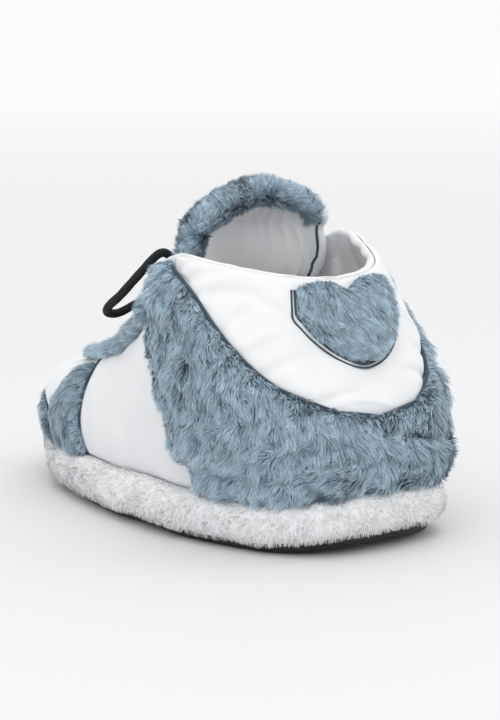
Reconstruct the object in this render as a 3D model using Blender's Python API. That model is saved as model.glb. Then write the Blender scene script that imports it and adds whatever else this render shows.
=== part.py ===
"""Plush sneaker slipper, left shoe. Metres, +Z up, +Y to the toe, +X to the big-toe side.

The origin is under the middle of the shoe, on the floor.
"""

import math

import bmesh
import bpy
import numpy as np

# Driving sizes, in metres
SOLE_LENGTH = 0.294
HEEL_WIDTH = 0.137
BALL_WIDTH = 0.133
TOE_TURN = 0.010
OUTSOLE_THICKNESS = 0.0090
MIDSOLE_THICKNESS = 0.0190
BAND_SWELL = 0.0095
BAND_LIP = 0.0028
TOE_SPRING = 0.0120
HEEL_LIFT = 0.0050
ARCH_RISE = 0.0016
INSOLE_THICKNESS = 0.0050
INNER_RISE = 0.0050
COLLAR_HEIGHT = 0.1560
COLLAR_WIDTH = 0.1200
WALL_THICKNESS = 0.0050
WALL_PUFF = 0.0300
FUR_DEPTH = 0.0095
LOCK_RISE = 0.0028
PANEL_THICKNESS = 0.0022
COLLAR_PADDING = 0.0036
TONGUE_HEIGHT = 0.2000
TONGUE_WIDTH = 0.1040
TONGUE_THICKNESS = 0.0085
LACE_DIAMETER = 0.0052
FIT_GAP = 0.0004
OVERLAY_GAP = 0.0014

HALF_LENGTH = SOLE_LENGTH / 2
FEATHER_HEIGHT = OUTSOLE_THICKNESS + MIDSOLE_THICKNESS
HEEL_BLUNT = 3.3
TOE_BLUNT = 2.15
FEATHER_INSET = 0.0030
COLLAR_FRONT = 0.37
EYESTAY_FUR = 0.75
TONGUE_CLEARANCE = 0.0038
TONGUE_BULGE = 0.20
GUARD_FOOT = 0.10
THROAT_START = 0.42
THROAT_END = 0.82
TUCK_FROM = 0.8
TONGUE_ACROSS = np.linspace(-1, 1, 13)
LOOP_COLUMNS = 60
WALL_ROWS = 8

# Half width along the sole: place along it from heel to toe, outer side, inner side (shares)
SOLE_WIDTHS = [
    # place, outer, inner, toe share
    (-1.00, 1.00, 0.96, 0.0),
    (-0.60, 1.03, 0.99, 0.0),
    (-0.30, 1.06, 0.97, 0.0),
    (0.00, 1.03, 0.95, 0.4),
    (0.30, 0.98, 1.02, 1.0),
    (0.60, 0.96, 1.04, 1.0),
    (1.00, 0.96, 1.00, 1.0),
]

# Sections round the shoe from the heel to the toe, the same on both sides.
# share: place along half the sole's edge. side, reach, height: the opening's edge, as shares of
# half the collar's width, half the sole's length and the collar's height. low_out and high_out:
# how far the wall swells, as shares of its puff. low_up and high_down: shares of the height.
SECTIONS = [
    # share, side, reach, height, low_out, low_up, high_out, high_down
    (0.00, 0.00, -0.725, 0.930, 0.42, 0.20, 0.48, 0.30),
    (0.10, 0.40, -0.695, 0.943, 0.56, 0.20, 0.62, 0.30),
    (0.18, 0.68, -0.615, 0.962, 0.68, 0.20, 0.78, 0.30),
    (0.27, 0.91, -0.450, 0.988, 0.70, 0.20, 0.72, 0.28),
    (0.37, 1.04, -0.260, 1.000, 0.62, 0.20, 0.44, 0.28),
    (0.44, 0.96, -0.140, 0.945, 0.50, 0.20, 0.26, 0.22),
    (0.51, 0.81, -0.020, 0.795, 0.42, 0.18, 0.28, 0.16),
    (0.60, 0.69, 0.150, 0.670, 0.40, 0.15, 0.46, 0.10),
    (0.70, 0.58, 0.330, 0.575, 0.46, 0.12, 0.80, 0.03),
    (0.80, 0.44, 0.490, 0.515, 0.60, 0.10, 1.24, -0.02),
    (0.90, 0.24, 0.590, 0.485, 0.80, 0.10, 1.60, -0.04),
    (1.00, 0.00, 0.620, 0.478, 0.86, 0.10, 1.72, -0.04),
]

# Upper edge of the fur quarter: place along the half loop, height up the wall
COLLAR_SEAM = [(0.00, 0.395), (0.08, 0.44), (0.15, 0.555), (0.22, 0.71), (0.28, 0.84), (0.33, 0.92), (0.37, 0.968)]

# Upper edge of the toe guard: place along the half loop, height up the wall
GUARD_EDGE = [
    (0.655, 0.15), (0.668, 0.26), (0.686, 0.50), (0.704, 0.72), (0.722, 0.82), (0.740, 0.80),
    (0.756, 0.60), (0.774, 0.36), (0.792, 0.25), (0.840, 0.20), (0.900, 0.23), (1.000, 0.34),
]

# Front edge of the fur quarter: height up the wall, place along the half loop
QUARTER_FRONT = [(0.00, 0.350), (0.35, 0.395), (0.75, 0.440), (1.00, 0.462)]

# Back seam of the toe guard, where the smooth side panel ends: height up the wall, place
GUARD_BACK = [(0.00, 0.650), (0.20, 0.662), (0.50, 0.683), (0.72, 0.700), (0.82, 0.716), (1.00, 0.740)]

# Tongue above the throat: height, reach, half width, set-back and drop of its side edges (shares)
TONGUE_TOP = [
    # height, reach, width, set_back, drop
    (0.850, -0.010, 0.95, 0.210, 0.010),
    (0.915, -0.085, 0.94, 0.165, 0.030),
    (0.965, -0.150, 0.86, 0.100, 0.050),
    (0.992, -0.195, 0.68, 0.050, 0.045),
    (1.000, -0.225, 0.42, 0.020, 0.020),
]

# Rows of the lace up the throat: place along the half loop
LACE_ROWS = [0.780, 0.700, 0.615, 0.530]

# The bow tied on the top bar. Points are measured from the knot's middle, X away from it.
KNOT_SIZE = (0.0085, 0.0062, 0.0066)
BOW_LOOP = [
    (0.0093, 0.0003, 0.0034), (0.0199, -0.0037, 0.0140), (0.0340, -0.0110, 0.0180), (0.0475, -0.0102, 0.0075),
    (0.0570, -0.0040, -0.0050), (0.0585, 0.0060, -0.0128), (0.0530, 0.0145, -0.0178), (0.0427, 0.0185, -0.0195),
    (0.0313, 0.0145, -0.0140), (0.0207, 0.0062, -0.0060), (0.0092, 0.0010, -0.0034),
]
BOW_END = [
    (0.0050, 0.0034, -0.0049), (0.0075, 0.0095, -0.0080), (0.0110, 0.0165, -0.0095), (0.0130, 0.0255, -0.0130),
    (0.0110, 0.0345, -0.0165),
]
BOW = [
    # cord, points, count of points along it
    ("lace_loop", BOW_LOOP, 26),
    ("lace_end", BOW_END, 10),
]


def clear_scene():
    for item in list(bpy.data.objects):
        bpy.data.objects.remove(item, do_unlink=True)


def table_value(table, place, column=1):
    """Reads a short table by straight lines between its rows."""
    rows = np.array(table, dtype=float)
    return np.interp(place, rows[:, 0], rows[:, column])


def smooth_table(table, place):
    """Reads every column of a table with a smooth curve through its rows."""
    rows = np.array(table, dtype=float)
    knots, values = rows[:, 0], rows[:, 1:]
    slopes = np.gradient(values, knots, axis=0)
    place = np.clip(place, knots[0], knots[-1])
    cell = np.clip(np.searchsorted(knots, place, side="right") - 1, 0, len(knots) - 2)
    width = knots[cell + 1] - knots[cell]
    s = ((place - knots[cell]) / width)[:, None]
    width = width[:, None]
    return (
        (2 * s**3 - 3 * s**2 + 1) * values[cell]
        + (s**3 - 2 * s**2 + s) * width * slopes[cell]
        + (3 * s**2 - 2 * s**3) * values[cell + 1]
        + (s**3 - s**2) * width * slopes[cell + 1]
    )


def sole_curve():
    """The sole's edge as a dense loop, with its length shares: 0 heel, 1 toe, 2 heel again."""
    angle = np.linspace(0, 2 * math.pi, 721)
    along, across = -np.cos(angle), -np.sin(angle)
    power = 2 / np.where(along > 0, TOE_BLUNT, HEEL_BLUNT)
    along = np.sign(along) * np.abs(along) ** power
    across = np.sign(across) * np.abs(across) ** power
    outer, inner, toe = smooth_table(SOLE_WIDTHS, along).T
    half = (HEEL_WIDTH * (1 - toe) + BALL_WIDTH * toe) / 2
    x = across * half * np.where(across < 0, outer, inner) + TOE_TURN * np.clip(along, 0, 1) ** 2
    y = along * HALF_LENGTH
    run = np.concatenate([[0], np.cumsum(np.hypot(np.diff(x), np.diff(y)))])
    toe_run = run[360]
    share = np.where(run <= toe_run, run / toe_run, 1 + (run - toe_run) / (run[-1] - toe_run))
    return share, x, y


EDGE_SHARE, EDGE_X, EDGE_Y = sole_curve()


def sole_edge(share, grow=0.0):
    """Points on the sole's edge, moved outwards by grow, and the outward direction there."""
    share = np.mod(share, 2.0)
    step = 0.012
    ahead, behind = np.mod(share + step, 2.0), np.mod(share - step, 2.0)
    tx = np.interp(ahead, EDGE_SHARE, EDGE_X) - np.interp(behind, EDGE_SHARE, EDGE_X)
    ty = np.interp(ahead, EDGE_SHARE, EDGE_Y) - np.interp(behind, EDGE_SHARE, EDGE_Y)
    length = np.hypot(tx, ty)
    nx, ny = -ty / length, tx / length
    x = np.interp(share, EDGE_SHARE, EDGE_X) + nx * grow
    y = np.interp(share, EDGE_SHARE, EDGE_Y) + ny * grow
    return x, y, nx, ny


def sole_lift(y):
    """Rise of the sole's underside: toe spring, heel lift and the arch."""
    along = np.asarray(y) / HALF_LENGTH
    toe = np.clip((along - 0.56) / 0.44, 0, None) ** 2 * TOE_SPRING
    heel = np.clip((-along - 0.74) / 0.26, 0, None) ** 2 * HEEL_LIFT
    arch = np.where(np.abs(along + 0.16) < 0.24, 0.5 + 0.5 * np.cos((along + 0.16) / 0.24 * math.pi), 0)
    return toe + heel + arch * ARCH_RISE


def opening_edge(share):
    """The upper's top edge: collar, throat and the end of the throat above the toes."""
    folded = 1 - np.abs(1 - np.mod(share, 2.0))
    values = smooth_table(SECTIONS, folded)
    sign = np.where(np.mod(share, 2.0) <= 1, -1.0, 1.0)
    y = values[:, 1] * HALF_LENGTH
    x = sign * np.abs(values[:, 0]) * COLLAR_WIDTH / 2
    x = x + TOE_TURN * np.clip(y / HALF_LENGTH, 0, 1)
    z = values[:, 2] * COLLAR_HEIGHT
    ankle = np.exp(-(((folded - COLLAR_FRONT) / 0.12) ** 2))
    z = z + np.where(sign > 0, ankle * INNER_RISE, 0.0)
    return np.stack([x, y, z], 1), values[:, 3:]


def shell(share, height):
    """The outside of the upper's wall. share runs round the shoe, height from sole to opening."""
    share, height = np.broadcast_arrays(np.asarray(share, float), np.asarray(height, float))
    shape = share.shape
    share, height = share.ravel(), height.ravel()
    x, y, nx, ny = sole_edge(share, -FEATHER_INSET)
    low = np.stack([x, y, FEATHER_HEIGHT + FIT_GAP + sole_lift(y)], 1)
    top, swell = opening_edge(share)
    out = np.stack([nx, ny, np.zeros_like(nx)], 1)
    up = np.array([[0.0, 0.0, 1.0]])
    first = low + out * swell[:, 0:1] * WALL_PUFF + up * swell[:, 1:2] * COLLAR_HEIGHT
    second = top + out * swell[:, 2:3] * WALL_PUFF - up * swell[:, 3:4] * COLLAR_HEIGHT
    h = height[:, None]
    point = (1 - h) ** 3 * low + 3 * (1 - h) ** 2 * h * first + 3 * (1 - h) * h**2 * second + h**3 * top
    return point.reshape(shape + (3,))


def shell_frame(share, height):
    """Point, outward direction and upward direction on the shell."""
    share, height = np.broadcast_arrays(np.asarray(share, float), np.asarray(height, float))
    ds, dh = 0.006, 0.012
    along = shell(share + ds, height) - shell(share - ds, height)
    rise = shell(share, np.clip(height + dh, 0, 1)) - shell(share, np.clip(height - dh, 0, 1))
    out = np.cross(rise, along)
    out = out / np.linalg.norm(out, axis=-1, keepdims=True)
    rise = rise / np.linalg.norm(rise, axis=-1, keepdims=True)
    return shell(share, height), out, rise


def shell_offset(share, height, offset):
    point, out, _ = shell_frame(share, height)
    return point + out * np.asarray(offset)[..., None]


def slab(name, outer, inner, wrap=False, locks=None, bare=0):
    """A closed solid between two grids of points. locks pokes the outer faces into fur locks,
    but for the bare columns at each side."""
    rows, columns = outer.shape[:2]
    mesh = bpy.data.meshes.new(name)
    bm = bmesh.new()
    skins = [[[bm.verts.new(p) for p in row] for row in grid] for grid in (outer, inner)]
    last = columns if wrap else columns - 1
    front = []
    for r in range(rows - 1):
        for c in range(last):
            d = (c + 1) % columns
            a, b = skins[0], skins[1]
            face = bm.faces.new((a[r][c], a[r + 1][c], a[r + 1][d], a[r][d]))
            if bare <= c < last - bare:
                front.append(face)
            bm.faces.new((b[r][c], b[r][d], b[r + 1][d], b[r + 1][c]))
    for c in range(last):
        d = (c + 1) % columns
        bm.faces.new((skins[0][0][c], skins[0][0][d], skins[1][0][d], skins[1][0][c]))
        bm.faces.new((skins[0][-1][c], skins[1][-1][c], skins[1][-1][d], skins[0][-1][d]))
    if not wrap:
        for r in range(rows - 1):
            bm.faces.new((skins[0][r][0], skins[1][r][0], skins[1][r + 1][0], skins[0][r + 1][0]))
            bm.faces.new((skins[0][r][-1], skins[0][r + 1][-1], skins[1][r + 1][-1], skins[1][r][-1]))
    if locks:
        raise_locks(bm, front, *locks)
    bmesh.ops.recalc_face_normals(bm, faces=bm.faces)
    bmesh.ops.triangulate(bm, faces=[f for f in bm.faces if len(f.verts) > 4])
    bm.to_mesh(mesh)
    bm.free()
    return add_object(name, mesh)


def raise_locks(bm, faces, rise, lean):
    """Pokes each face into a lock of fur that stands up by rise and lies over along -Z."""
    poked = bmesh.ops.poke(bm, faces=faces)
    for number, vertex in enumerate(poked["verts"]):
        wave = 0.72 + 0.28 * math.sin(number * 2.399)
        outward = vertex.normal.copy()
        if outward.length < 0.5:
            outward = vertex.link_faces[0].normal.copy()
        vertex.co += outward * rise * wave
        vertex.co.z -= lean * wave


def add_object(name, mesh):
    item = bpy.data.objects.new(name, mesh)
    bpy.context.collection.objects.link(item)
    mesh.shade_smooth()
    mesh.set_sharp_from_angle(angle=math.radians(50))
    return item


def material(name, colour, roughness):
    finish = bpy.data.materials.new(name)
    finish.use_nodes = True
    shader = finish.node_tree.nodes["Principled BSDF"]
    shader.inputs["Base Color"].default_value = (*colour, 1.0)
    shader.inputs["Roughness"].default_value = roughness
    shader.inputs["Metallic"].default_value = 0.0
    return finish


def paint(item, finish):
    item.data.materials.append(finish)
    return item


def loop_shares(count):
    return np.arange(count) * 2.0 / count


def stacked_loops(name, levels, count=LOOP_COLUMNS):
    """A solid from loops stacked from its underside to its top, closed across the shoe.

    Each level is how far the loop lies outside the sole's edge, and its height above the lift.
    """
    share = loop_shares(count)
    mesh = bpy.data.meshes.new(name)
    bm = bmesh.new()
    rings = []
    for grow, height in levels:
        x, y, _, _ = sole_edge(share, grow)
        z = sole_lift(y) + height
        rings.append([bm.verts.new(p) for p in zip(x, y, z)])
    for low, high in zip(rings, rings[1:]):
        for c in range(count):
            d = (c + 1) % count
            bm.faces.new((low[c], high[c], high[d], low[d]))
    half = count // 2
    for ring in (rings[0], rings[-1]):
        for c in range(half):
            corners = [ring[c], ring[c + 1], ring[(count - c - 1) % count], ring[(count - c) % count]]
            bm.faces.new(list(dict.fromkeys(corners)))
    bmesh.ops.recalc_face_normals(bm, faces=bm.faces)
    bm.to_mesh(mesh)
    bm.free()
    return add_object(name, mesh)


def make_outsole():
    """Black sole with a rounded lower edge and a rib above a shallow groove."""
    t = OUTSOLE_THICKNESS
    return stacked_loops("outsole", [
        (-0.0040, 0.0), (-0.0012, 0.12 * t), (0.0, 0.32 * t), (0.0, 0.62 * t), (-0.0010, t - FIT_GAP),
    ])


def make_midsole():
    """Foam midsole whose plush side swells past the outsole and hangs a little over it."""
    t, base = MIDSOLE_THICKNESS, OUTSOLE_THICKNESS
    return stacked_loops("midsole", [
        (-0.0020, base), (0.0010, base), (0.0022, base - 0.55 * BAND_LIP), (0.55 * BAND_SWELL, base - BAND_LIP),
        (0.92 * BAND_SWELL, base + 0.10 * t), (BAND_SWELL, base + 0.42 * t), (0.88 * BAND_SWELL, base + 0.74 * t),
        (0.55 * BAND_SWELL, base + 0.95 * t), (0.0, base + t),
    ])


def make_insole():
    inset = -(FEATHER_INSET + WALL_THICKNESS + FIT_GAP + 0.0015)
    low = FEATHER_HEIGHT + FIT_GAP
    return stacked_loops("insole", [
        (inset - 0.0010, low), (inset, low + 0.25 * INSOLE_THICKNESS), (inset, low + 0.7 * INSOLE_THICKNESS),
        (inset - 0.0015, low + INSOLE_THICKNESS),
    ], 48)


def make_upper():
    """The padded shell: one wall all round, open at collar, throat and underneath."""
    share = loop_shares(LOOP_COLUMNS)[None, :]
    height = np.linspace(0, 1, WALL_ROWS + 1)[:, None]
    point, out, rise = shell_frame(share, height)
    outer, inner = point.copy(), point - out * WALL_THICKNESS
    outer = np.concatenate([outer, (point - out * WALL_THICKNESS * 0.25 + rise * WALL_THICKNESS * 0.35)[-1:]])
    inner = np.concatenate([inner, (point - out * WALL_THICKNESS * 0.75 + rise * WALL_THICKNESS * 0.35)[-1:]])
    return slab("upper", outer, inner, wrap=True)


def edge_fade(rows, columns, low=0.55, foot=0.55):
    """Thickness factor that rounds an overlay towards its edges, and foot towards its lowest one."""
    fade = np.ones((rows, columns))
    fade[:, 0] = fade[:, -1] = fade[-1, :] = low
    fade[0, :] = foot
    return fade


def overlay(name, share, height, thickness, locks=None, foot=0.55, sewn=False):
    """An overlay cut from the shell's own function, lying just outside the wall. A sewn one has
    its upper edge drawn down onto the wall."""
    rows, columns = share.shape
    fade = edge_fade(rows, columns, foot=foot)
    gap = np.full(share.shape, OVERLAY_GAP)
    if sewn:
        gap[-1, :] = FIT_GAP
    inner = shell_offset(share, height, gap)
    outer = shell_offset(share, height, OVERLAY_GAP + thickness * fade)
    return slab(name, outer, inner, locks=locks)


def make_collar_panel():
    """Smooth padded panel round the ankle, deepest at the heel."""
    side = np.linspace(-1, 1, 33)[None, :]
    up = np.linspace(0, 1, 5)[:, None]
    share = side * 0.352 + 0 * up
    low = table_value(COLLAR_SEAM, np.abs(share)) + 0.020
    height = low + (0.995 - low) * up
    return overlay("collar_panel", share, height, COLLAR_PADDING, sewn=True)


def make_quarter():
    """Fur panel round the heel and both sides, up to the collar seam."""
    side = np.linspace(-1, 1, 35)[None, :]
    up = np.linspace(0, 1, 7)[:, None]
    front = table_value(QUARTER_FRONT, up)
    share = side * front
    high = np.where(np.abs(share) < 0.37, table_value(COLLAR_SEAM, np.abs(share)) - 0.006, 0.99)
    height = 0.05 + (high - 0.05) * up
    return overlay("quarter_fur", share, height, FUR_DEPTH, (LOCK_RISE, LOCK_RISE * 0.4))


def make_side_panel(name, sign):
    """Smooth panel on the shoe's side, between the fur quarter and the toe guard."""
    along = np.linspace(0, 1, 8)[None, :]
    up = np.linspace(0, 1, 7)[:, None]
    height = 0.03 + 0.79 * up + 0 * along
    back = table_value(QUARTER_FRONT, height) + 0.008
    front = table_value(GUARD_BACK, height) - 0.006
    share = sign * (back + (front - back) * along)
    if sign > 0:
        share, height = share[:, ::-1], height[:, ::-1]
    return overlay(name, share[:, ::-1] if sign > 0 else share, height, PANEL_THICKNESS)


def make_eyestay(name, sign):
    """Narrow fur strip along the throat's edge."""
    along = np.linspace(0, 1, 18)[None, :]
    up = np.linspace(0, 1, 3)[:, None]
    share = sign * (0.486 + (0.880 - 0.486) * along) + 0 * up
    height = 0.855 + (0.99 - 0.855) * up + 0 * along
    locks = (LOCK_RISE * EYESTAY_FUR, LOCK_RISE * 0.3)
    return overlay(name, share, height, FUR_DEPTH * EYESTAY_FUR, locks, sewn=True)


def make_toe_guard():
    """Fur guard round the toe, with a wing up each side to the end of the throat."""
    reach = 1.0 - GUARD_EDGE[0][0]
    side = np.linspace(-1, 1, 39)[None, :]
    up = np.linspace(0, 1, 6)[:, None]
    share = 1.0 + side * reach + 0 * up
    folded = 1 - np.abs(1 - share)
    high = table_value(GUARD_EDGE, folded)
    height = GUARD_FOOT + (high - GUARD_FOOT) * up
    return overlay("toe_guard", share, height, FUR_DEPTH * 0.85, (LOCK_RISE * 0.8, LOCK_RISE * 0.3), 0.25)


def make_heel_tab():
    """Heart-shaped fur tab on the back of the collar."""
    side = np.linspace(-1, 1, 11)[None, :]
    up = np.linspace(0, 1, 5)[:, None]
    share = side * 0.118 + 0 * up
    low = 0.635 + 0.215 * np.abs(side) ** 2.2
    high = 0.955 + 0.035 * np.sin(np.clip(np.abs(side), 0, 1) * math.pi)
    height = low + (high - low) * up
    start = FIT_GAP + OVERLAY_GAP + COLLAR_PADDING
    fade = edge_fade(*share.shape)
    inner = shell_offset(share, height, np.full(share.shape, start))
    outer = shell_offset(share, height, start + FUR_DEPTH * 0.85 * fade)
    return slab("heel_tab", outer, inner, locks=(LOCK_RISE * 0.8, LOCK_RISE * 0.5))


def tongue_row(share):
    """The tongue's outer face across the throat: its edges are tucked under the shell."""
    inside = np.array([-(WALL_THICKNESS + TONGUE_CLEARANCE)])
    tuck = 0.91
    edges = [shell_offset(np.array([s]), np.array([h]), inside)[0] for s in (share, 2 - share) for h in (tuck, 0.96)]
    left_low, left, right_low, right = edges
    middle = (left + right) / 2
    slope = (THROAT_END - share) / (THROAT_END - THROAT_START)
    width = np.linalg.norm(right - left)
    bulge = np.array([0, 0.10 + 0.85 * slope, 1.0 - 0.55 * slope]) * width * TONGUE_BULGE
    row = []
    for w in TONGUE_ACROSS:
        if abs(w) > TUCK_FROM:
            low, near = (left_low, left) if w < 0 else (right_low, right)
            row.append(near + (low - near) * (abs(w) - TUCK_FROM) / (1 - TUCK_FROM))
        else:
            row.append(middle + (right - left) * w / TUCK_FROM / 2 + bulge * (1 - (w / TUCK_FROM) ** 2) ** 1.7)
    return np.array(row)


def tongue_sections():
    """Outer face of the tongue, from its end under the throat to its free top edge."""
    sections = [tongue_row(share) for share in np.linspace(THROAT_END, THROAT_START, 9)]
    for height, reach, width, set_back, drop in TONGUE_TOP:
        x = TONGUE_ACROSS * width * TONGUE_WIDTH / 2
        y = (reach - set_back * TONGUE_ACROSS**2) * HALF_LENGTH
        z = (height - drop * TONGUE_ACROSS**2) * TONGUE_HEIGHT
        sections.append(np.stack([x, y, z], 1))
    return np.array(sections)


def make_tongue():
    outer = tongue_sections()
    out = np.cross(np.gradient(outer, axis=0), np.gradient(outer, axis=1))
    out = out / np.linalg.norm(out, axis=-1, keepdims=True)
    fade = edge_fade(*outer.shape[:2], low=0.7)
    inner = outer - out * (TONGUE_THICKNESS * fade)[..., None]
    return slab("tongue", outer, inner, locks=(LOCK_RISE * 0.8, LOCK_RISE * 0.4), bare=3)


def smooth_route(points, count):
    """Evenly spaced points on a smooth curve through a cord's own points."""
    points = np.array(points, dtype=float)
    run = np.concatenate([[0], np.cumsum(np.linalg.norm(np.diff(points, axis=0), axis=1))])
    fine = smooth_table(np.column_stack([run, points]), np.linspace(0, run[-1], 400))
    run = np.concatenate([[0], np.cumsum(np.linalg.norm(np.diff(fine, axis=0), axis=1))])
    places = np.linspace(0, run[-1], count)
    return np.stack([np.interp(places, run, fine[:, axis]) for axis in range(3)], 1)


def cord_tube(name, points, count):
    """A round cord along a route, as a bevelled curve with filled ends."""
    curve = bpy.data.curves.new(name, "CURVE")
    curve.dimensions = "3D"
    curve.bevel_depth = LACE_DIAMETER / 2
    curve.bevel_resolution = 2
    curve.use_fill_caps = True
    spline = curve.splines.new("POLY")
    route = smooth_route(points, count)
    spline.points.add(len(route) - 1)
    for place, point in zip(spline.points, route):
        place.co = (*point, 1.0)
    item = bpy.data.objects.new(name, curve)
    bpy.context.collection.objects.link(item)
    return item


def eyelet(share):
    """Where the lace lies on an eyestay."""
    stand = OVERLAY_GAP + EYESTAY_FUR * (FUR_DEPTH + LOCK_RISE) + LACE_DIAMETER / 2
    return shell_offset(np.array([share]), np.array([0.925]), np.array([stand]))[0]


def lace_bar(share):
    """One straight bar of the lace, arched over the tongue from eyelet to eyelet, and its upward
    direction in the middle."""
    left, right = eyelet(share), eyelet(2 - share)
    row = tongue_row(share)
    middle = (left + right) / 2
    up = row[6] - (row[1] + row[11]) / 2
    up = up / np.linalg.norm(up)
    bow = max(0.0, float(np.dot(row[6] - middle, up))) + LOCK_RISE + LACE_DIAMETER
    return [middle + (right - left) * w / 2 + up * bow * (1 - w * w) for w in np.linspace(-1, 1, 7)], up


def make_laces():
    """The lace over the tongue as one joined run of bars, with its bow: knot, loops and ends."""
    route = []
    for number, share in enumerate(LACE_ROWS):
        bar, up = lace_bar(share)
        route += bar if number % 2 == 0 else bar[::-1]
    items = [cord_tube("lace_bars", route, 46)]
    knot_reach = 1 / np.linalg.norm(up / np.array(KNOT_SIZE))
    knot = bar[3] + up * (LACE_DIAMETER / 2 + knot_reach + FIT_GAP)
    bm = bmesh.new()
    bmesh.ops.create_icosphere(bm, subdivisions=2, radius=1.0)
    bmesh.ops.scale(bm, vec=KNOT_SIZE, verts=bm.verts)
    bmesh.ops.translate(bm, vec=tuple(knot), verts=bm.verts)
    mesh = bpy.data.meshes.new("lace_knot")
    bm.to_mesh(mesh)
    bm.free()
    items.append(add_object("lace_knot", mesh))
    for name, points, count in BOW:
        for word, side in (("outer", -1), ("inner", 1)):
            route = [knot + np.array([side * x, y, z]) for x, y, z in points]
            items.append(cord_tube(f"{name}_{word}", route, count))
    return items


def centre_over_origin(items):
    """Moves the whole shoe so that the box round its solids stands centred on the origin."""
    corners = np.array([vertex.co for item in items if item.type == "MESH" for vertex in item.data.vertices])
    middle = (corners.min(axis=0) + corners.max(axis=0)) / 2
    for item in items:
        item.location = (-middle[0], -middle[1], 0.0)


def main():
    clear_scene()
    fur = material("blue_grey_fur", (0.22, 0.32, 0.39), 0.95)
    plush = material("white_plush", (0.90, 0.90, 0.92), 0.95)
    smooth = material("white_cloth", (0.88, 0.88, 0.89), 0.85)
    lining = material("grey_lining", (0.55, 0.56, 0.58), 0.9)
    rubber = material("black_rubber", (0.012, 0.012, 0.013), 0.6)
    cord = material("black_cord", (0.015, 0.015, 0.016), 0.7)
    paint(make_outsole(), rubber)
    paint(make_midsole(), plush)
    paint(make_insole(), lining)
    paint(make_upper(), smooth)
    paint(make_collar_panel(), smooth)
    paint(make_side_panel("side_panel_outer", 1), smooth)
    paint(make_side_panel("side_panel_inner", -1), smooth)
    paint(make_quarter(), fur)
    paint(make_eyestay("eyestay_outer", 1), fur)
    paint(make_eyestay("eyestay_inner", -1), fur)
    paint(make_toe_guard(), fur)
    paint(make_heel_tab(), fur)
    paint(make_tongue(), fur)
    for item in make_laces():
        paint(item, cord)
    centre_over_origin(list(bpy.data.objects))


if __name__ == "__main__":
    main()
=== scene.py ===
"""Plush sneaker slipper: fur, cloth, plush band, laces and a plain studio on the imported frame.

Laid out as an add-on and run as a script. Metres, +Z up, +Y to the toe, +X to the big-toe side.
"""

import math
from collections import namedtuple

import bmesh
import bpy
import numpy as np
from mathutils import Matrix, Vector, kdtree


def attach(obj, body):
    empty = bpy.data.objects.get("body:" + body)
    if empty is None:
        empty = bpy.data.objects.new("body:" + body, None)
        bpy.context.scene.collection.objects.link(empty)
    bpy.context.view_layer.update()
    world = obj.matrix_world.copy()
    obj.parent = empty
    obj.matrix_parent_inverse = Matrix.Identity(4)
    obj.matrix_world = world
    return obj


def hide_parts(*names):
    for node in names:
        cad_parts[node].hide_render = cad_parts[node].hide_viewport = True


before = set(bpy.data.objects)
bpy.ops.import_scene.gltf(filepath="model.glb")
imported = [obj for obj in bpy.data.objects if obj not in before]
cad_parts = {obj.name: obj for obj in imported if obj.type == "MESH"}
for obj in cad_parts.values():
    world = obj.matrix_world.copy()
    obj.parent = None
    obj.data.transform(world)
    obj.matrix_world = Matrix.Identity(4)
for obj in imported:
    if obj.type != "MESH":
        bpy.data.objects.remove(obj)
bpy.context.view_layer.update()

bl_info = {
    "name": "Plush Sneaker Slipper",
    "version": (1, 0, 0),
    "blender": (4, 5, 0),
    "location": "View3D > Sidebar > Slipper",
    "description": "Builds a plush sneaker slipper with fur overlays, padded cloth and round laces",
    "category": "Object",
}

PATTERN_MAP = "OFBake"

# Sizes of the shoe, in metres, as in the part
SOLE_LENGTH = 0.294
HEEL_WIDTH = 0.137
BALL_WIDTH = 0.133
TOE_TURN = 0.010
OUTSOLE_THICKNESS = 0.0090
MIDSOLE_THICKNESS = 0.0190
BAND_SWELL = 0.0095
BAND_LIP = 0.0028
TOE_SPRING = 0.0120
HEEL_LIFT = 0.0050
ARCH_RISE = 0.0016
INSOLE_THICKNESS = 0.0050
INNER_RISE = 0.0050
COLLAR_HEIGHT = 0.1560
COLLAR_WIDTH = 0.1200
WALL_THICKNESS = 0.0050
WALL_PUFF = 0.0300
FUR_DEPTH = 0.0095
LOCK_RISE = 0.0028
PANEL_THICKNESS = 0.0022
COLLAR_PADDING = 0.0036
TONGUE_HEIGHT = 0.2000
TONGUE_WIDTH = 0.1040
TONGUE_THICKNESS = 0.0085
LACE_DIAMETER = 0.0052
FIT_GAP = 0.0004
OVERLAY_GAP = 0.0014

HALF_LENGTH = SOLE_LENGTH / 2
FEATHER_HEIGHT = OUTSOLE_THICKNESS + MIDSOLE_THICKNESS
HEEL_BLUNT = 3.3
TOE_BLUNT = 2.15
FEATHER_INSET = 0.0030
COLLAR_FRONT = 0.37
EYESTAY_FUR = 0.75
TONGUE_CLEARANCE = 0.0038
TONGUE_BULGE = 0.20
THROAT_START = 0.42
THROAT_END = 0.82
TUCK_FROM = 0.8
TUCK_HEIGHTS = (0.91, 0.96)
BAR_HEIGHT = 0.925
TONGUE_ACROSS = np.linspace(-1, 1, 13)

# How far the part's form lies from the origin, which is under the middle of its box
PLACE = np.array([0.001359, -0.002342, 0.0])

# Half width along the sole, as in the part
SOLE_WIDTHS = [
    # place, outer, inner, toe share
    (-1.00, 1.00, 0.96, 0.0),
    (-0.60, 1.03, 0.99, 0.0),
    (-0.30, 1.06, 0.97, 0.0),
    (0.00, 1.03, 0.95, 0.4),
    (0.30, 0.98, 1.02, 1.0),
    (0.60, 0.96, 1.04, 1.0),
    (1.00, 0.96, 1.00, 1.0),
]

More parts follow.
